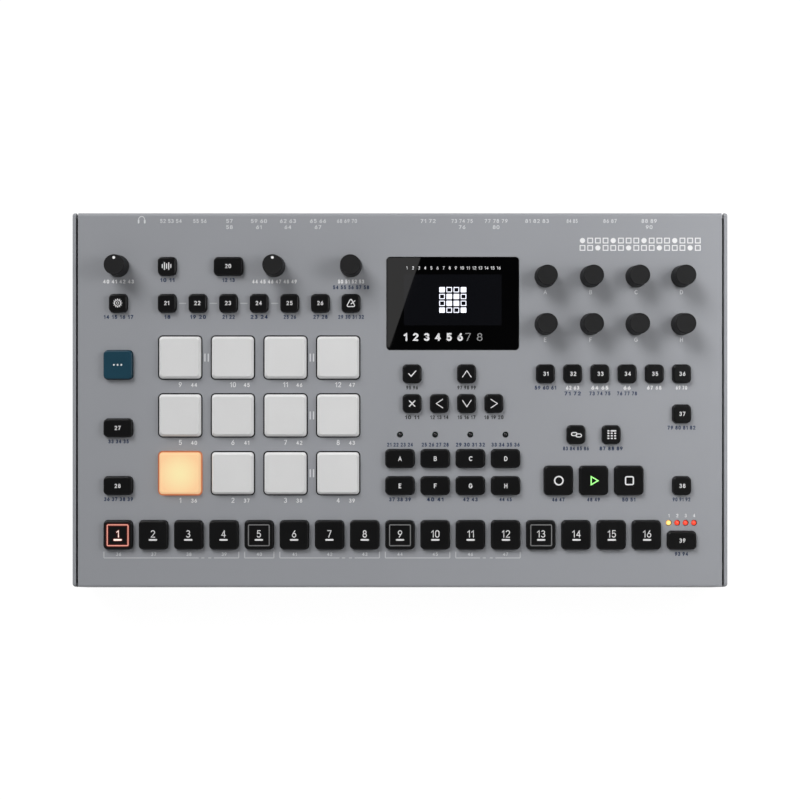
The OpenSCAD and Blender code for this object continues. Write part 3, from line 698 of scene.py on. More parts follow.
def window_glass(name):
    """Black window with a coated, slightly finger-marked surface."""
    f = Finish(name)
    marks = f.noise(55, 4)
    return f.surface(
        Base_Color=f.blend(marks, (0.0004, 0.0004, 0.0005, 1), (0.0008, 0.0008, 0.001, 1)),
        Roughness=marks * 0.02 + 0.004,
        Specular_IOR_Level=0.22,
    )


def screen_pixels(name, colour):
    """A dark passive screen with its pixel grid."""
    f = Finish(name)
    grid = f.add("ShaderNodeTexBrick", {"offset": 0.0},
                 {"Vector": f.place(tilt=TILT), "Scale": 2200.0, "Mortar Size": 0.06,
                  "Brick Width": 1.0, "Row Height": 1.0}, "Fac")
    return f.surface(
        Base_Color=f.blend(grid, shade(colour, 1.0), shade(colour, 0.5)),
        Roughness=0.01 + grid * 0.02,
        Specular_IOR_Level=0.22,
    )


def lit_rubber(name, centre, half, rise, rim):
    """A pad lit from below: yellow in its middle, orange at its edge, deep orange on its walls."""
    f = Finish(name)
    x, v, n = f.axes(f.place(centre, TILT))
    reach = ((x * x + v * v) ** 0.5) / half
    spread = (reach ** 1.6).at_most(1.0)
    top = f.blend(spread, (0.94, 0.86, 0.46, 1), (0.97, 0.6, 0.32, 1))
    wall = (rise - n) / rim
    glow = f.blend(wall.at_most(1.0).at_least(0.0), top, (0.6, 0.15, 0.06, 1))
    tooth = f.noise(3800, 3)
    return f.surface(
        Base_Color=(0.3, 0.2, 0.1, 1),
        Roughness=tooth * 0.1 + 0.5,
        Emission_Color=glow,
        Emission_Strength=0.72,
        Normal=f.bump(tooth, 0.00003, 0.3),
    )


def lens(name, colour, strength, centre_boost=1.0):
    """A small round light, brighter towards the top of its dome."""
    f = Finish(name)
    depth, height = 1.2 * MM, 1.3 * MM
    _, _, n = f.axes(f.place(tuple(PANEL.translation), TILT))
    dome = ((n + depth) / height).at_least(0.0).at_most(1.0)
    return f.surface(
        Base_Color=shade(colour, 0.35),
        Roughness=0.06 + dome * 0.03,
        Emission_Color=f.blend(dome, shade(colour, 0.4), shade(colour, centre_boost)),
        Emission_Strength=strength,
    )


# ---- settings ----


def length(name, text, default):
    return bpy.props.FloatProperty(name=name, description=text + ", in millimetres",
                                   default=default, min=0.0)


def colour(name, text, default):
    return bpy.props.FloatVectorProperty(
        name=name, description=text, default=default, size=3, subtype="COLOR", min=0.0, max=1.0)


class CaseSettings(bpy.types.PropertyGroup):
    paint: colour("Paint", "Powder coat of the panel and side plates", (0.283, 0.291, 0.311))
    base_paint: colour("Base paint", "Powder coat of the base and rear panel", (0.05, 0.05, 0.053))
    edge: length("Edge", "Rounding of the sheet's cut edges", 0.4)
    inset: length("Inset", "Widening of the gap beside each side plate", 0.3)


class PrintSettings(bpy.types.PropertyGroup):
    white: colour("White", "Ink of the main figures", (0.78, 0.78, 0.79))
    pale: colour("Pale", "Ink of the socket figures", (0.66, 0.67, 0.69))
    dim: colour("Dim", "Ink of the lines", (0.5, 0.51, 0.53))
    navy: colour("Navy", "Ink of the second figures", (0.006, 0.022, 0.075))
    charcoal: colour("Charcoal", "Ink of the figures at the arrow keys", (0.02, 0.02, 0.022))
    small: length("Small", "Height of the small figures", 2.35)
    weight: bpy.props.FloatProperty(
        name="Weight", description="Stroke of the small figures, as a share of their height",
        default=0.23, min=0.05, max=0.3)


class KeySettings(bpy.types.PropertyGroup):
    plastic: colour("Plastic", "Plastic of the keys", (0.0045, 0.0045, 0.0048))
    function_plastic: colour("Function plastic", "Plastic of the function key",
                             (0.0095, 0.045, 0.071))
    corner: length("Corner", "Corner radius of a key", 2.4)
    bevel: length("Bevel", "Rounding of a key's top edge", 0.9)
    lit: colour("Lit", "Light behind the first step key", (0.66, 0.26, 0.2))
    running: colour("Running", "Light behind the play key", (0.35, 1.0, 0.25))


class PadSettings(bpy.types.PropertyGroup):
    rubber: colour("Rubber", "Silicone of the pads", (0.67, 0.67, 0.67))
    top: length("Top", "Side of a pad's flat top", 22.4)
    bevel: length("Bevel", "Rounding of the edge around a pad's top", 0.3)


class KnobSettings(bpy.types.PropertyGroup):
    rubber: colour("Rubber", "Soft-touch coat of the knobs", (0.0115, 0.0115, 0.012))
    edge: length("Edge", "Rounding of a knob's top edge", 0.5)
    mark: length("Mark", "Width of the white position mark", 1.6)


def power(name, default):
    return bpy.props.FloatProperty(name=name, description="Power of this light", default=default,
                                   min=0.0, unit="POWER")


class StageSettings(bpy.types.PropertyGroup):
    distance: length("Distance", "Camera distance from the panel", 882.0)
    lens: bpy.props.FloatProperty(name="Lens", description="Focal length of the camera",
                                  default=67.5, min=10.0, unit="CAMERA")
    rise: length("Rise", "How far the camera stands up the slope", 6.0)
    key_power: power("Key light", 119.0)
    fill_power: power("Fill light", 1.5)


# ---- pieces ----

KEY_GROUPS = ("mode_keys", "navigation_keys", "bank_keys", "parameter_keys")
LONE_KEYS = ("function_key", "record_key", "play_key", "stop_key",
             *(f"step_key_{i}" for i in range(1, 17)))
POTS = ("knob_main_volume", "knob_performance")


def key_top():
    return max(p.z for p in solids("play_key")[0])


def key_cap(points, corner, bevel):
    """A key as one moulding: rounded cap, flange under the panel and stem."""
    low, high = extent(points)
    cap_low, cap_high = extent([p for p in points if p.z > 0])
    cap, skirt = cap_high - cap_low, high - low
    foot = min(p.z for p in points if abs(p.x - low.x) < 0.01)
    flange, stem = 1.0, 2.3
    ob = slab(cap.x, cap.y, corner, foot + flange, high.z, 5)
    soften_top(ob, bevel, 4)
    pick(ob, "FACE", lambda mid, way: way.z < -0.9)
    extrude()
    resize(skirt.x / cap.x, skirt.y / cap.y)
    extrude(z=-flange)
    extrude()
    resize(stem / skirt.x, stem / skirt.y)
    extrude(z=low.z - foot)
    done()
    return smooth(ob)


class Numerals:
    """Hands out rows of plain two-digit numbers, one after the other."""

    def __init__(self, first):
        self.next = first

    def take(self):
        number, self.next = self.next, self.next + 1 if self.next < 99 else 10
        return str(number)

    def row(self, width, size):
        """As many numbers as fill a width."""
        count = max(1, round((width / size + 0.6) / 2.0))
        return " ".join(self.take() for _ in range(count))


def column(k):
    """Place along the case of one of the step keys' columns, counted from 0."""
    first, last = (place_of(n).x for n in ("step_key_1", "step_key_16"))
    return first + (last - first) / 15 * k


class DRUM_OT_case(bpy.types.Operator):
    """Builds the folded panel, side plates, base and rear panel"""
    bl_idname = "drum.case"
    bl_label = "Case"

    def execute(self, context):
        s = context.scene.drum_case
        dark = powder_coat("base_paint", s.base_paint, 0.55)
        sheets = {
            "top_panel": ("panel_sheet", powder_coat("panel_paint", s.paint), "panel_paint"),
            "side_panels": ("side_plates", powder_coat("side_paint", s.paint), "side_paint"),
            "base_chassis": ("base_tray", dark, "base_paint"),
            "rear_panel": ("rear_plate", dark, "base_paint"),
        }
        for node, (name, finish, slot) in sheets.items():
            sheet = copy_of(node)
            if node == "top_panel":
                self.inset(sheet, s.inset)
            piece(bevelled(sheet, s.edge), name, finish, slot, node)
        return {"FINISHED"}

    def inset(self, ob, depth):
        """Moves the outermost upright faces at both sides inwards."""
        reach = max(v.co.x for v in ob.data.vertices)
        for side in (-1, 1):
            pick(ob, "FACE", lambda mid, way: way.x * side > 0.9 and mid.x * side > reach - 0.1)
            bpy.ops.transform.translate(value=(-side * depth, 0, 0))
            done()


class DRUM_OT_keys(bpy.types.Operator):
    """Builds the caps of all sprung keys"""
    bl_idname = "drum.keys"
    bl_label = "Keys"

    def execute(self, context):
        s = context.scene.drum_keys
        plastic = moulded("key_plastic", s.plastic, 0.3, 0.25), "key_plastic"
        teal = moulded("function_plastic", s.function_plastic, 0.34, 0.25), "function_plastic"
        templates = {}
        for node in (*LONE_KEYS, *KEY_GROUPS):
            caps = []
            for points in solids(node):
                low, high = extent(points)
                kind = (round(high.x - low.x, 1), round(high.y - low.y, 1))
                centre = (low + high) / 2
                if kind not in templates:
                    still = [p - Vector((centre.x, centre.y, 0)) for p in points]
                    templates[kind] = key_cap(still, s.corner, s.bevel)
                caps.append(copy_at(templates[kind], centre.x, centre.y))
            name = node + ("_caps" if node in KEY_GROUPS else "_cap")
            piece(joined(caps), name, *(teal if node == "function_key" else plastic), node,
                  body=node, on_panel=True)
        discard(*templates.values())
        return {"FINISHED"}


class DRUM_OT_legends(bpy.types.Operator):
    """Prints the figures and symbols on the keys"""
    bl_idname = "drum.legends"
    bl_label = "Key legends"

    def execute(self, context):
        s = context.scene.drum_keys
        paint = context.scene.drum_print.white
        white = ink("key_ink", paint)
        grey = ink("frame_ink", shade(paint, 0.25)[:3])
        lit = lit_ink("lit_red", s.lit, 1.0)
        bright = lit_ink("lit_white", (0.9, 0.72, 0.64), 0.9)
        glow = lit_ink("lit_glow", (0.045, 0.003, 0.002), 1.0)
        figures, z = Lettering(), key_top()
        rise, drop, frame_side, halo = 0.8, -2.7, 12.75, INK / 2

        def mark(node, kind, finish, *parts):
            """Prints on a key what is drawn around the origin."""
            at = place_of(node)
            piece(moved(joined(parts), at.x, at.y, z), f"{node}_{kind}", finish, "key_plastic",
                  body=node, on_panel=True)

        for i in range(1, 17):
            node, first = f"step_key_{i}", i == 1
            mark(node, "number", bright if first else white,
                 figures.row(str(i), 0, rise, 4.3, 0, THIN), bar(0, drop, 4.95, 1.0))
            if i % 4 == 1:
                mark(node, "frame", lit if first else grey,
                     outline(frame_side, frame_side, 0.8, 0.55))
            if first:
                mark(node, "glow", glow, outline(13.9, 13.9, 1.4, 1.8, halo),
                     figures.row("1", 0, rise, 5.3, -halo, 0.3), bar(0, drop, 6.0, 2.1, 0, halo))
        mark("record_key", "sign", white, drawn([(True, loop(0, 0, 2.45, 2.45, 28))], 0.8))
        mark("play_key", "sign", lit_ink("lit_green", s.running, 1.0),
             drawn([(True, [(-1.75, -2.4), (-1.75, 2.4), (2.3, 0)])], 0.8))
        mark("stop_key", "sign", white, outline(5.3, 5.3, 1.1, 0.75))
        mark("function_key", "sign", white, *(bar(x, 0, 1.1, 1.1) for x in (-2.2, 0, 2.2)))
        for node, marks in self.group_marks(figures, z).items():
            piece(joined(marks), node + "_signs", white, "key_plastic", body=node, on_panel=True)
        figures.close()
        return {"FINISHED"}

    def group_marks(self, figures, z):
        """The marks of the grouped keys: a sign, or else the next number or letter."""
        gear = [(True, loop(0, 0, 1.8, 1.8, 24))]
        for inner, outer in zip(loop(0, 0, 1.9, 1.9, 12), loop(0, 0, 2.55, 2.55, 12)):
            gear.append((False, [inner, outer]))
        body = [*arc(-1.6, -1.45, 0.6, 0.6, 160, 270, 4), *arc(1.6, -1.45, 0.6, 0.6, 270, 380, 4),
                *arc(0.0, 1.5, 0.6, 0.6, 20, 160, 4)]
        links = [(True, [*arc(x + 0.8, y, 0.85, 0.9, 90, -90, 4),
                         *arc(x - 0.8, y, 0.85, 0.9, 270, 90, 4)])
                 for x, y in ((-1.3, 0.4), (1.3, -0.4))]
        # Lines with the width of their stroke, by key: rows from the top, and along each row
        signs = {
            ("mode_keys", 2): ((gear, 0.42), ([(True, loop(0, 0, 0.75, 0.75, 12))], 0.3)),
            ("mode_keys", 9): (([(True, body), (False, [(0.1, -0.5), (2.35, 1.3)])], 0.5),),
            ("navigation_keys", 0): (([(False, [(-2.0, 0.1), (-0.6, -1.5), (2.1, 1.6)])], 0.62),),
            ("navigation_keys", 2): (([(False, [(-1.6, -1.6), (1.6, 1.6)]),
                                       (False, [(-1.6, 1.6), (1.6, -1.6)])], 0.62),),
            ("parameter_keys", 7): ((links, 0.55),),
        }
        chevron = [(-2.5, -1.9), (0.0, 1.9), (2.5, -1.9)]
        for quarter, index in enumerate((1, 3, 4, 5)):
            spin = Matrix.Rotation(quarter * math.pi / 2, 2)
            turned = [(False, [spin @ Vector(p) for p in chevron])]
            signs["navigation_keys", index] = ((turned, 0.5),)
        # Bars, each with its place, width and depth
        bars = {
            ("mode_keys", 0): [(1.25 * (k - 2), 0, 0.6, tall)
                               for k, tall in enumerate((2.4, 4.6, 3.2, 4.6, 2.4))],
            ("parameter_keys", 8): [(-2.0, 2.3, 1.3, 0.8), (0.95, 2.3, 3.4, 0.8),
                                    *((x, y, 1.3, 0.8) for x in (-2.0, 0.0, 2.0)
                                      for y in (-2.1, -0.6, 0.9))],
        }
        texts = {"mode_keys": iter(range(20, 29)), "bank_keys": iter("ABCDEFGH"),
                 "parameter_keys": iter(range(31, 40))}
        found = {node: [] for node in KEY_GROUPS}
        for node, marks in found.items():
            size = 2.8 if node == "bank_keys" else 2.5
            for key, at in (((node, i), middle(g)) for i, g in enumerate(solids(node))):
                for strokes, width in signs.get(key, ()):
                    marks.append(drawn(strokes, width, at.x, at.y, z))
                for x, y, w, d in bars.get(key, ()):
                    marks.append(bar(at.x + x, at.y + y, w, d, z))
                if key not in signs and key not in bars:
                    marks.append(figures.row(str(next(texts[node])), at.x, at.y, size, z, 0.175))
        return found


class DRUM_OT_print(bpy.types.Operator):
    """Prints the figures, lines and marks on the panel"""
    bl_idname = "drum.print"
    bl_label = "Panel print"

    def execute(self, context):
        s = context.scene.drum_print
        self.inks = {tone: [] for tone in ("white", "pale", "dim", "navy", "charcoal")}
        self.numbers, self.figures = Numerals(10), Lettering()
        mode, params, arrows, banks = ([middle(g) for g in solids(node)] for node in (
            "mode_keys", "parameter_keys", "navigation_keys", "bank_keys"))
        transport = [place_of(n) for n in ("record_key", "play_key", "stop_key")]
        dials = [place_of("knob_" + n) for n in ("main_volume", "performance", "track_level")]
        # Rows of numbers: their ink, what they stand at, how far below it, and their widths
        rows = (
            ("navy", mode, 8.0, (8.4, 7.3, 17.5, 3.9, 9.3, 7.3, 10.2, 7.3, 8.5, 15.1, 12, 17)),
            ("white", dials, 8.9, (18.2, 26.3, 15.4)),
            ("navy", dials[2:], 12.3, (21.3,)),
            ("navy", params[:1], 8.15, (12.7,)),
            ("white", params[1:6], 8.15, (7.8, 10.1, 5.5, 8.5, 5.7)),
            ("navy", params[1:4], 11.55, (9.7, 12.4, 11.8)),
            ("navy", params[6:], 8.15, (16.4, 15.2, 13.6, 10.4, 7.8)),
            ("charcoal", arrows, 8.1, (6.9, 10.8, 9.8, 10.7, 10.5, 11.3)),
            ("navy", banks[:4], -8.1, (15.2, 15.9, 17.1, 16.6)),
            ("navy", banks[4:], 8.15, (12.8, 9.9, 8.7, 7.2)),
            ("navy", transport, 11.3, (7.4, 7.6, 7.8)),
        )
        for tone, places, drop, widths in rows:
            for at, width in zip(places, widths):
                self.write(tone, self.numbers.row(width, s.small), at.x, at.y - drop, s.small,
                           s.weight, width)
        for letter in "abcdefgh":
            at = place_of("knob_" + letter)
            self.write("pale", letter.upper(), at.x, at.y - 9.1, 2.6)
        self.pads()
        self.brackets()
        self.sockets(s.small)
        lights, pitch = -68.2, 4.95
        for k in range(4):
            self.write("white", str(k + 1), column(16) + pitch * (k - 1.5), lights, 2.0)
        for left, right in zip(mode[3:7], mode[4:]):
            self.line("dim", (left.x + right.x) / 2, mode[3].y, 4.4, 0.5)
        self.strip(self.inks["white"])
        self.figures.close()
        for tone, marks in self.inks.items():
            piece(joined(marks), "panel_print_" + tone, ink(tone + "_ink", getattr(s, tone)),
                  "panel_paint", on_panel=True)
        return {"FINISHED"}

    def write(self, tone, text, x, v, size, weight=REGULAR, width=None):
        self.inks[tone].append(self.figures.row(text, x, v, size, 0.0, weight, width))

    def line(self, tone, x, v, w, d):
        self.inks[tone].append(bar(x, v, w, d))

    def pads(self):
        """Numbers under the pads, and the pairs of bars between linked pads."""
        place = {i: place_of(f"pad_{i}") for i in range(1, 13)}
        for i, at in place.items():
            self.write("white", str(i), at.x, at.y - 15.9, 3.0, 0.14)
            self.write("white", str(35 + i), at.x + 8.1, at.y - 16.1, 2.4, 0.17)
        for a, b in ((9, 10), (11, 12), (7, 8), (3, 4)):
            for side in (-1, 1):
                self.line("pale", (place[a].x + place[b].x) / 2 + side, place[a].y, 0.75, 4.85)

    def brackets(self):
        """The lines under the step keys, with numbers of their voices."""
        low, high, reach, dash, wide = -93.1, -89.4, 8.6, 1.9, 0.55
        for first, last, broken in ((0, 3, 2), (4, 4, None), (5, 7, 6), (8, 9, None), (10, 11, 10)):
            left, right = column(first) - reach, column(last) + reach
            spans = [(left, right)]
            if broken is not None:
                stop, go = column(broken) + 5.8, column(broken + 1) - 6.0
                spans = [(left, stop), (go, right)]
                for share in (0.27, 0.73):
                    x = stop + (go - stop) * share
                    spans.append((x - dash / 2, x + dash / 2))
            for start, end in spans:
                self.line("dim", (start + end) / 2, low, end - start, wide)
            for x in (left, right):
                self.line("dim", x, (low + high) / 2, wide, high - low)
        for k in range(12):
            self.write("pale", str(36 + k), column(k), -90.9, 2.1)

    def sockets(self, size):
        """Plain numbers along the rear edge, over the sockets, and a headphone sign."""
        rows = {-134.7: (12.7, 0), -117.7: (7.8, 0), -100.3: (4.3, 4.3), -83.0: (9.6, 5),
                -65.9: (9.8, 5), -48.2: (10.2, 5), -31.2: (11.7, 0), 16.5: (9.8, 0),
                36.5: (12.5, 5), 56.5: (13.5, 5), 80.6: (13.9, 0), 101.2: (6.4, 0),
                123.5: (7.9, 0), 146.5: (9, 4.3)}
        upper, lower = 105.0, 101.4
        for x, widths in rows.items():
            for v, width in zip((upper, lower), widths):
                if width:
                    text = self.numbers.row(width, size)
                    self.write("pale", text, x, v, size * 0.96, REGULAR, width)
        band = [(False, arc(0, 0, 1.8, 2.0, 0, 180, 10))]
        cups = [(False, [(x, -0.3), (x, -1.7)]) for x in (-1.8, 1.8)]
        x, v = -151.9, 105.7
        self.inks["pale"] += [drawn(band, 0.45, x, v), drawn(cups, 0.95, x, v)]

    def strip(self, marks):
        """Two rows of plain squares and dots."""
        start, top, pitch, drop, half = 107.3, 93.5, 4.52, 4.3, 1.4
        square = drawn([(True, [(-half, -half), (half, -half), (half, half), (-half, half)])], 0.55)
        dot = bar(0, 0, 3.1, 3.1)
        for row in range(2):
            for k in range(16):
                mark = dot if (k + row * 2) % 4 == 0 else square
                marks.append(copy_at(mark, start + pitch * k, top - drop * row))
        discard(square, dot)


class DRUM_OT_pads(bpy.types.Operator):
    """Builds the twelve rubber pads"""
    bl_idname = "drum.pads"
    bl_label = "Pads"

    def execute(self, context):
        s = context.scene.drum_pads
        points = solids("pad_1")[0]
        low, high = extent(points)
        left, right = extent([p for p in points if p.z > -0.01])
        skirt, side, flange, corner = (high - low).x, (right - left).x, 1.0, 2.02
        template = slab(side, side, corner, low.z + flange, 0, 6)
        pick(template, "FACE", lambda mid, way: way.z > 0.9)
        extrude(z=high.z)
        resize(s.top / side, s.top / side)
        done()
        pick(template, "FACE", lambda mid, way: way.z < -0.9)
        extrude()
        resize(skirt / side, skirt / side)
        extrude(z=-flange)
        done()
        bevelled(template, s.bevel, 3, 35, soft=True)
        rubber = silicone("pad_rubber", s.rubber, rise=(high.z - 0.15) * MM)
        for i in range(1, 13):
            node = f"pad_{i}"
            at = place_of(node)
            centre = tuple(PANEL @ Vector((at.x, at.y, 0)))
            finish = rubber if i > 1 else lit_rubber(
                "lit_pad_rubber", centre, side / 2 * MM, 0.9 * MM, 1.1 * MM)
            piece(copy_at(template, at.x, at.y), node + "_rubber", finish, "pad_rubber", node,
                  body=node, on_panel=True)
        discard(template)
        return {"FINISHED"}


class DRUM_OT_knobs(bpy.types.Operator):
    """Builds the knobs with their shafts and position marks"""
    bl_idname = "drum.knobs"
    bl_label = "Knobs"

    def execute(self, context):
        s = context.scene.drum_knobs
        soft = moulded("knob_rubber", s.rubber, 0.6, 0.16, 3200)
        shaft_steel, mark_ink = steel("shaft_steel"), ink("mark_ink", (0.85, 0.85, 0.85))
        template, top = self.cap(s.edge)
        for node in (n for n in frame["nodes"] if n.startswith("knob_")):
            at = place_of(node)
            shaft, *rest = sorted(split(node), key=lambda o: size_of(o)[0].x)
            piece(copy_at(template, at.x, at.y), node + "_cap", soft, "knob_plastic", node,
                  body=node, on_panel=True)
            piece(smooth(shaft), node + "_shaft", shaft_steel, "screw_steel", body=node)
            discard(*rest)
            if node in POTS:
                below, above, out = top - 0.18, top - 0.02, 4.0
                dot = slab(s.mark, s.mark, s.mark * 0.49, below, above, 6)
                piece(moved(dot, at.x, at.y + out), node + "_mark", mark_ink, "knob_plastic",
                      body=node, on_panel=True)
        discard(template)
        return {"FINISHED"}

    def cap(self, edge):
        """A knob's cap and its height: tapered wall, rounded rim, shallow dish and a bore."""
        cap, shaft = sorted(solids("knob_a"), key=lambda g: -(extent(g)[1] - extent(g)[0]).x)
        at = middle(cap)
        low, high = extent([p - Vector((at.x, at.y, 0)) for p in cap])
        top = max(math.hypot(p.x - at.x, p.y - at.y) for p in cap if p.z > high.z - 0.7)
        foot, chamfer, play = high.x, 0.5, 0.05
        bore = (extent(shaft)[1] - extent(shaft)[0]).x / 2 + play
        ob = primitive("cylinder", vertices=96, radius=foot, depth=high.z - low.z,
                       location=(0, 0, (low.z + high.z) / 2))
        pick(ob, "FACE", lambda mid, way: way.z > 0.9)
        resize(top / foot, top / foot)
        for rim, depth in ((0.75, 0.12), (0.5, 0.06)):
            bpy.ops.mesh.inset(thickness=rim)
            bpy.ops.transform.translate(value=(0, 0, -depth))
        done()
        round_edges(ob, edge, 5, lambda mid, way: mid.z > high.z - 0.01 and abs(way.z) < 0.1
                    and mid.xy.length > top - 0.1)
        round_edges(ob, chamfer, 3,
                    lambda mid, way: mid.z < low.z + 0.01 and mid.xy.length > foot - 0.1)
        pick(ob, "FACE", lambda mid, way: way.z < -0.9 and abs(mid.z - low.z) < 0.01)
        bpy.ops.mesh.inset(thickness=foot - chamfer - bore)
        extrude(z=max(p.z for p in shaft) + play - low.z)
        done()
        return smooth(ob), high.z


class DRUM_OT_display(bpy.types.Operator):
    """Builds the display window, its screen and what they show"""
    bl_idname = "drum.display"
    bl_label = "Display"

    def execute(self, context):
        white = context.scene.drum_print.white
        low, high = extent(solids("display_window")[0])
        size, at, z = high - low, (low + high) / 2, high.z
        window = slab(size.x, size.y, 2.0, low.z, z, 6)
        soften_top(window, 0.25, 3)

        def show(ob, name, finish, *nodes):
            piece(ob, name, finish, "window", *nodes, on_panel=True)

        show(moved(smooth(window), at.x, at.y), "display_glass", window_glass("window_gloss"),
             "display_window")
        lift, film = at.y + 2.1, 0.01
        show(moved(slab(57.4, 29.9, 0.3, 0, film, 2), at.x, lift, z), "screen_area",
             screen_pixels("screen_dark", (0.0042, 0.0045, 0.006)))
        marks = []
        w, d, corner, across, up = 3.3, 3.1, 0.3, 4.2, 4.0
        for row in range(4):
            for k in range(4):
                full = (k + row) % 3 == 0 or k == row
                tile = slab(w, d, corner, 0, INK, 2) if full else outline(w, d, corner, 0.45)
                x, v = at.x + across * (k - 1.5), lift + up * (row - 1.5)
                marks.append(moved(tile, x, v, z + film))
        show(joined(marks), "screen_picture", lit_ink("screen_light", (0.85, 0.87, 1.0), 0.95))
        figures, pitch, foot = Lettering(), 55.7 / 15 * 0.97, at.y - 19.7
        marks = [figures.row(str(n), at.x + pitch * (n - 8.5), at.y + 20.9, 1.9, z)
                 for n in range(1, 17)]
        marks.append(figures.row("1 2 3 4 5 6", at.x - 11.45, foot, 4.7, z, 0.21, 34.9))
        show(joined(marks), "window_print_white", ink("window_ink", white))
        show(figures.row("7 8", at.x + 12.4, foot, 4.7, z, THIN, 10.8), "window_print_grey",
             ink("window_grey", shade(white, 0.3)[:3]))
        figures.close()
        self.module()
        return {"FINISHED"}

    def module(self):
        """The frame, glass and board behind the window, from the CAD's own solids."""
        parts = kinds_of("display_module", lambda size, at: "frame" if size.x > 80
                         else "glass" if 50 < size.x < 70 else "board")
        plastic = moulded("display_frame_plastic", (0.02, 0.02, 0.022))
        piece(smooth(parts["frame"]), "display_frame", plastic, "display", "display_module")
        piece(smooth(parts["glass"]), "display_panel_glass", window_glass("panel_glass"), "display")
        piece(smooth(parts["board"]), "display_circuit", circuit_board("display_board_green"),
              "board")


class DRUM_OT_boards(bpy.types.Operator):
    """Dresses the circuit boards, switches, encoders and small lights"""
    bl_idname = "drum.boards"
    bl_label = "Boards and lights"

    # Each kind of solid on the control board, with the width that it is over
    KINDS = {"board": 300, "tray": 100, "encoders": 10, "switches": 5.5, "pad_lights": 4}

    def kind_of(self, size, at):
        """The kind of a solid of the control board. The small lights count along the case."""
        if 100 < size.x <= 300 and size.z <= 1.5:
            return "sensor"
        return next((kind for kind, width in self.KINDS.items() if size.x > width), at.x)

    def execute(self, context):
        green = circuit_board("board_green")
        black = moulded("component_black", (0.015, 0.015, 0.016), 0.45)
        parts = kinds_of("control_board", self.kind_of)
        piece(parts.pop("board"), "control_circuit_board", green, "board", "control_board")
        finishes = {
            "tray": moulded("light_tray_white", (0.75, 0.75, 0.75), 0.5),
            "sensor": moulded("sensor_film", (0.09, 0.05, 0.012), 0.25),
            "pad_lights": ink("light_phosphor", (0.8, 0.75, 0.4)),
            "encoders": steel("encoder_nickel"),
            "switches": black,
        }
        for kind, finish in finishes.items():
            piece(smooth(parts.pop(kind)), "control_" + kind, finish, "board")
        lights = [parts[x] for x in sorted(parts)]
        for name, group, finish in (
                ("bank_lights", lights[:4], lens("light_off", (0.03, 0.03, 0.033), 0.0)),
                ("page_light_1", lights[4:5], lens("light_amber", (1.0, 0.5, 0.14), 1.6, 1.4)),
                ("page_lights", lights[5:], lens("light_red", (1.0, 0.07, 0.035), 1.1))):
            piece(smooth(joined(group), 60), name, finish, "board")

        parts = kinds_of("main_board", lambda size, at: "board" if size.x > 300
                         else "cans" if abs(size.x - 8) < 0.1 and abs(size.z - 9) < 0.1
                         else "chips", to_panel=False)
        piece(parts["board"], "main_circuit_board", green, "board", "main_board")
        piece(bevelled(parts["chips"], 0.2), "main_chips", black, "board")
        piece(bevelled(parts["cans"], 0.4), "main_capacitors",
              steel("can_metal", (0.35, 0.38, 0.5), 0.4), "board")
        return {"FINISHED"}


class DRUM_OT_sockets(bpy.types.Operator):
    """Dresses the sockets, power button, feet and screws"""
    bl_idname = "drum.sockets"
    bl_label = "Sockets, feet and screws"

    def execute(self, context):
        black = moulded("socket_black", (0.02, 0.02, 0.022), 0.42)
        usb = next(m["pos_m"] for m in frame["record"]["mounts"] if m["name"] == "usb")
        parts = kinds_of("digital_sockets", lambda size, at: abs(at.x - usb[0] / MM) < 1,
                         to_panel=False)
        piece(bevelled(copy_of("audio_jacks"), 0.15), "jack_housings", black, "socket",
              "audio_jacks")
        piece(bevelled(parts[False], 0.15), "socket_blocks", black, "socket", "digital_sockets")
        piece(bevelled(parts[True], 0.1), "data_socket_shell", steel("shell_nickel"), "socket")
        piece(bevelled(copy_of("power_button"), 0.5, 3, soft=True), "power_button_cap",
              moulded("button_black", (0.012, 0.012, 0.013)), "key_plastic", "power_button",
              body="power_button")
        piece(bevelled(copy_of("rubber_feet"), 0.8, 3, soft=True), "feet",
              silicone("foot_rubber", (0.02, 0.02, 0.02), 0.7), "foot_rubber", "rubber_feet")
        piece(bevelled(copy_of("fasteners"), 0.15), "screws_and_nuts", steel("screw_steel"),
              "screw_steel", "fasteners")
        return {"FINISHED"}


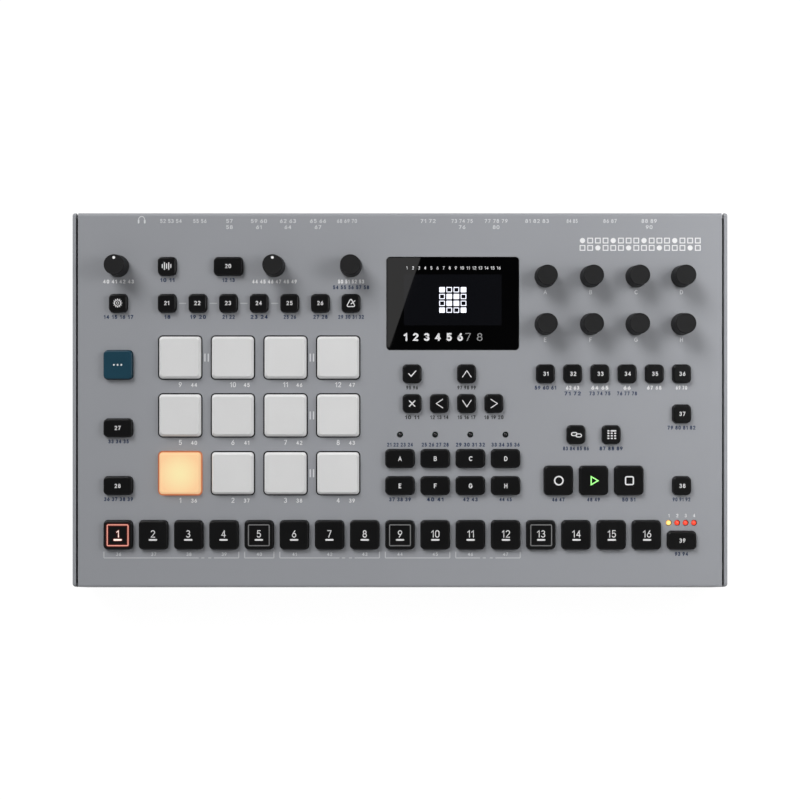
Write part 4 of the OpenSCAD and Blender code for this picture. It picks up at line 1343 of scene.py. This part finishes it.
class DRUM_OT_stage(bpy.types.Operator):
    """Sets up the floor, the lights and the camera"""
    bl_idname = "drum.stage"
    bl_label = "Stage"

    def execute(self, context):
        s = context.scene.drum_stage
        scene = context.scene
        scene.view_settings.view_transform = "Standard"
        floor = primitive("plane", size=12)
        floor.name = "floor"
        floor.data.materials.append(self.floor_paint())
        self.sky(scene)
        self.softbox("key_light", (-0.55, 0.83), 38, 4.0, 2.0, s.key_power)
        self.softbox("fill_light", (0.95, 0.3), 40, 0.6, 0.3, s.fill_power)
        self.reflection_card(s.distance)
        data = bpy.data.cameras.new("camera")
        data.lens = s.lens
        centre = -0.24      # where the picture's middle lies up the slope, in millimetres
        data.shift_y = (centre - s.rise) / s.distance * s.lens / data.sensor_width
        data.clip_start, data.clip_end = 0.05, 30
        camera = linked(bpy.data.objects.new("camera", data))
        place = PANEL.translation + (NORMAL * s.distance + UP_SLOPE * s.rise) * MM
        camera.matrix_world = Matrix.Translation(place) @ Matrix.Rotation(TILT, 4, "X")
        scene.camera = camera
        return {"FINISHED"}

    def floor_paint(self):
        """White to what looks at it, with a faint shadow, and plain pale paint for the light."""
        f = Finish("floor_white")
        seen = f.add("ShaderNodeLightPath", {}, {}).output.node
        looks = Socket(f, seen.outputs["Is Camera Ray"])
        for name in ("Is Glossy Ray", "Is Transmission Ray"):
            looks = looks.at_least(Socket(f, seen.outputs[name]))
        pale = f.blend(f.noise(30, 2), (0.63, 0.63, 0.63, 1), (0.67, 0.67, 0.67, 1))
        paint = f.add("ShaderNodeBsdfDiffuse", {}, {"Color": pale})
        glow = f.add("ShaderNodeEmission", {}, {"Color": (1, 1, 1, 1), "Strength": 1.08})
        white = f.add("ShaderNodeMixShader", {}, {0: 0.9, 1: paint, 2: glow})
        mixed = f.add("ShaderNodeMixShader", {}, {0: looks, 1: paint, 2: white})
        f.add("ShaderNodeOutputMaterial", {}, {"Surface": mixed})
        return f.owner

    def sky(self, scene):
        """Soft studio surround, brightest half-way up."""
        scene.world = bpy.data.worlds.new("studio")
        f = Finish("studio", scene.world)
        _, _, z = f.axes(f.add("ShaderNodeTexCoord", {}, {}, "Generated"))
        high = z.at_least(0.0)
        band = high * (1 - high) * 1.65 + 0.03
        back = f.add("ShaderNodeBackground", {}, {"Color": (1, 1, 1, 1), "Strength": band})
        f.add("ShaderNodeOutputWorld", {}, {"Surface": back})

    def softbox(self, name, heading, elevation, distance, size, strength):
        """A square soft light, from a heading in the panel's plane and an angle above it."""
        data = bpy.data.lights.new(name, "AREA")
        data.shape, data.size, data.energy = "SQUARE", size, strength
        lamp = linked(bpy.data.objects.new(name, data))
        angle = math.radians(elevation)
        flat = Vector(heading).normalized() * math.cos(angle)
        way = Vector((1, 0, 0)) * flat.x + UP_SLOPE * flat.y + NORMAL * math.sin(angle)
        lamp.location = PANEL.translation + way * distance
        lamp.rotation_mode = "QUATERNION"
        lamp.rotation_quaternion = way.to_track_quat("Z", "Y")

    def reflection_card(self, distance):
        """A bright card high over the window, seen only as its reflection in the glass."""
        height = 1500.0
        spread = 1 + height / distance
        corners = [(-9.0, 86.0), (14.2, 86.0), (-6.2, 27.0), (-9.0, 27.0)]
        mesh = bpy.data.meshes.new("reflection_card")
        mesh.from_pydata([PANEL @ Vector((x * spread, v * spread, height)) for x, v in corners],
                         [], [(0, 1, 2, 3)])
        card = linked(bpy.data.objects.new("reflection_card", mesh))
        f = Finish("card_light")
        glow = f.add("ShaderNodeEmission", {}, {"Color": (1, 0.99, 0.98, 1), "Strength": 2.0})
        f.add("ShaderNodeOutputMaterial", {}, {"Surface": glow})
        mesh.materials.append(f.owner)
        card.visible_camera = card.visible_diffuse = card.visible_shadow = False


class DRUM_PT_panel(bpy.types.Panel):
    """Sizes and colours of the drum machine, and the buttons that build it"""
    bl_label = "Drum machine"
    bl_space_type = "VIEW_3D"
    bl_region_type = "UI"
    bl_category = "Drum machine"

    def draw(self, context):
        for operator in OPERATORS:
            self.layout.operator(operator.bl_idname)
        for name in SETTINGS:
            group = getattr(context.scene, name)
            for key in group.__annotations__:
                self.layout.prop(group, key)


SETTINGS = {"drum_case": CaseSettings, "drum_print": PrintSettings, "drum_keys": KeySettings,
            "drum_pads": PadSettings, "drum_knobs": KnobSettings, "drum_stage": StageSettings}
OPERATORS = (DRUM_OT_stage, DRUM_OT_case, DRUM_OT_keys, DRUM_OT_legends, DRUM_OT_print,
             DRUM_OT_pads, DRUM_OT_knobs, DRUM_OT_display, DRUM_OT_boards, DRUM_OT_sockets)

CLASSES = (*SETTINGS.values(), *OPERATORS, DRUM_PT_panel)


def register():
    for cls in CLASSES:
        bpy.utils.register_class(cls)
    for name, cls in SETTINGS.items():
        setattr(bpy.types.Scene, name, bpy.props.PointerProperty(type=cls))


def unregister():
    for name in SETTINGS:
        delattr(bpy.types.Scene, name)
    for cls in reversed(CLASSES):
        bpy.utils.unregister_class(cls)


def main():
    register()
    for operator in OPERATORS:
        group, name = operator.bl_idname.split(".")
        getattr(getattr(bpy.ops, group), name)()


if __name__ == "__main__":
    main()
